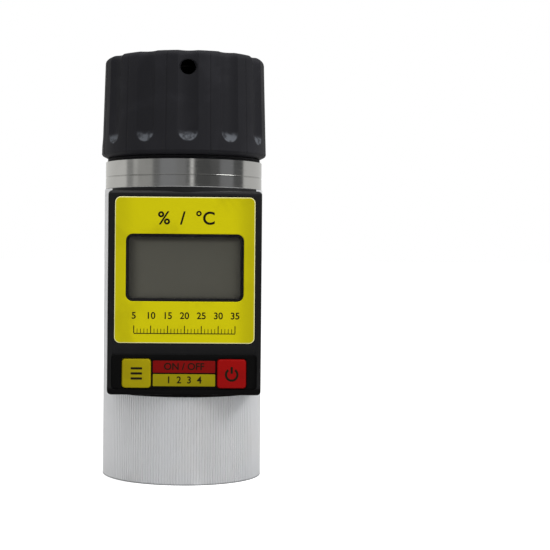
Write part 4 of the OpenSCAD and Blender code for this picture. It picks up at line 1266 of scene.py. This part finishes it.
def print_bars(name, bars, surface_y):
    """Upright or level bars, each given as its two corners in X and Z, joined into one piece."""
    made = []
    for low_x, low_z, high_x, high_z in bars:
        corner = min(high_x - low_x, high_z - low_z) / 4
        made.append(rounded_plate(name, Vector((low_x, surface_y - INK, low_z)),
                                  Vector((high_x, surface_y + INK, high_z)), corner, steps=2))
    choose(made[0])
    for bar in made:
        bar.select_set(True)
    bpy.ops.object.join()
    return made[0]


print("print helpers ready")

# %% [markdown]
# On the label stand the units over the window, and a plain number scale under it. A long tick belongs to
# each number, with short ticks between.

# %% Print on the label
UNIT_HEIGHT = 8.2 * MM
UNIT_WEIGHT = 0.14 * MM
UNIT_X = 0.6 * MM
UNIT_Z = window_high.z + 6.9 * MM
NUMBER_HEIGHT = 4.3 * MM
NUMBER_WEIGHT = 0.07 * MM
NUMBER_Z = window_low.z - 6.6 * MM
SCALE_HALF = 23 * MM
SCALE_Z = label_low.z + 4.6 * MM
SCALE_LINE = 0.4 * MM
SCALE_NUMBERS = range(5, 40, 5)
MINOR_TICKS = 5
MAJOR_LENGTH = 3.4 * MM
MINOR_LENGTH = 2.0 * MM
label_y = label_low.y
units = print_text("unit_print", "%  /  \u00b0C", UNIT_HEIGHT, UNIT_WEIGHT, UNIT_X, UNIT_Z, label_y)
dress(units, "meter_body", "label_yellow", [], print_ink)
number_step = 2 * SCALE_HALF / (len(SCALE_NUMBERS) - 1)
ticks = [(-SCALE_HALF, SCALE_Z - SCALE_LINE, SCALE_HALF, SCALE_Z)]
for index in range((len(SCALE_NUMBERS) - 1) * MINOR_TICKS + 1):
    x = -SCALE_HALF + index * number_step / MINOR_TICKS
    major = index % MINOR_TICKS == 0
    half = SCALE_LINE / 2 if major else SCALE_LINE / 3
    ticks.append((x - half, SCALE_Z, x + half, SCALE_Z + (MAJOR_LENGTH if major else MINOR_LENGTH)))
dress(print_bars("scale_ticks", ticks, label_y), "meter_body", "label_yellow", [], print_ink)
for index, number in enumerate(SCALE_NUMBERS):
    mark = print_text(f"scale_number_{number}", str(number), NUMBER_HEIGHT, NUMBER_WEIGHT,
                      -SCALE_HALF + index * number_step, NUMBER_Z, label_y)
    dress(mark, "meter_body", "label_yellow", [], print_ink)

# %% [markdown]
# The red strip says ON and OFF, the yellow one has counting numbers, and the keys have two common signs:
# a list of three bars, and a ring with a bar. The ring is a small upright face that is spun round Y.

# %% Print on the keypad
STRIP_TEXT = 4.4 * MM
STRIP_WEIGHT = 0.08 * MM
SIGN_R = 2.6 * MM
SIGN_STROKE = 1.0 * MM
SIGN_GAP = math.radians(70)
SIGN_STEPS = 40
LIST_STEP = 2.3 * MM
RING_DROP = 0.4 * MM
BAR_START = 0.5 * MM


def front_of(node):
    """Middle of a node's front face in x and z, and the face's y."""
    low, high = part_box(node)
    return (low.x + high.x) / 2, (low.z + high.z) / 2, low.y


for name, node, words, slot in (("red_strip_print", "power_strip", "ON / OFF", "key_red"),
                                ("yellow_strip_print", "function_strip", "1  2  3  4", "key_yellow")):
    mark = print_text(name, words, STRIP_TEXT, STRIP_WEIGHT, *front_of(node))
    dress(mark, "meter_body", slot, [], print_ink)

x, z, key_y = front_of("function_key")
rows = [(x - SIGN_R, z + up - SIGN_STROKE / 2, x + SIGN_R, z + up + SIGN_STROKE / 2)
        for up in (-LIST_STEP, 0, LIST_STEP)]
dress(print_bars("list_sign", rows, key_y + INK), "function_key", "key_yellow", [], print_ink)


def print_ring(name, x, z, surface_y):
    """A ring of print with a gap at its top."""
    choose(None)
    bpy.ops.mesh.primitive_plane_add(size=1)
    ring = bpy.context.object
    ring.name = ring.data.name = name
    outward = Vector((-math.sin(SIGN_GAP / 2), 0, math.cos(SIGN_GAP / 2)))
    for vertex in ring.data.vertices:
        reach = SIGN_R + vertex.co.x * SIGN_STROKE
        vertex.co = outward * reach + Vector((x, surface_y + vertex.co.y * 2 * INK, z))
    edit(ring)
    bpy.ops.mesh.spin(steps=SIGN_STEPS, angle=2 * math.pi - SIGN_GAP, center=(x, surface_y, z),
                      axis=(0, 1, 0))
    tidy_shell()
    leave_edit()
    return ring


x, z, key_y = front_of("power_key")
z -= RING_DROP
dress(print_ring("power_ring", x, z, key_y + INK), "power_key", "key_red", [], print_ink)
bar = (x - SIGN_STROKE / 2, z + BAR_START, x + SIGN_STROKE / 2, z + SIGN_R + SIGN_STROKE)
dress(print_bars("power_bar", [bar], key_y + INK), "power_key", "key_red", [], print_ink)

# %% [markdown]
# The base plate and the bayonet lid close the foot. They are plain mouldings, so they keep the shape of
# their solids, with the sharp edges broken.

# %% Foot
FOOT_BREAK = 0.3 * MM
for name, node, body in (("foot_plate", "base_plate", "meter_body"),
                         ("bayonet_lid", "battery_lid", "battery_lid")):
    piece = copy_of(node, name)
    soften(piece, FOOT_BREAK)
    smooth(piece, 35)
    dress(piece, body, "inner_black", [node], inner_black)

# %% [markdown]
# Everything else keeps its own solid and only takes a finish: the tube, whose ribs are modelled already,
# and what is inside.

# %% Finishes of the solids that stay
KEPT = {
    ribbed_tube: ["body_tube"],
    steel: ["electrode_nut", "board_screws", "housing_screws", "stem_clip"],
    electrode_metal: ["centre_electrode", "temperature_sensor"],
    insulator_white: ["electrode_insulator"],
    display_grey: ["lcd_glass"],
    inner_black: ["battery_frame"],
    panel_black: ["lcd_bezel"],
    contact_rubber: ["zebra_strips"],
    board_green: ["main_board"],
    chip_black: ["board_components", "key_switches"],
    lead_red: ["electrode_lead", "battery_leads"],
    cell_wrap: ["batteries"],
    contact_brass: ["battery_contacts"],
    foam: ["lid_pad"],
}
for finish, kept in KEPT.items():
    for name in kept:
        nodes[name].data.materials.clear()
        nodes[name].data.materials.append(finish.material)
print(sum(len(kept) for kept in KEPT.values()), "solids keep their own mesh")
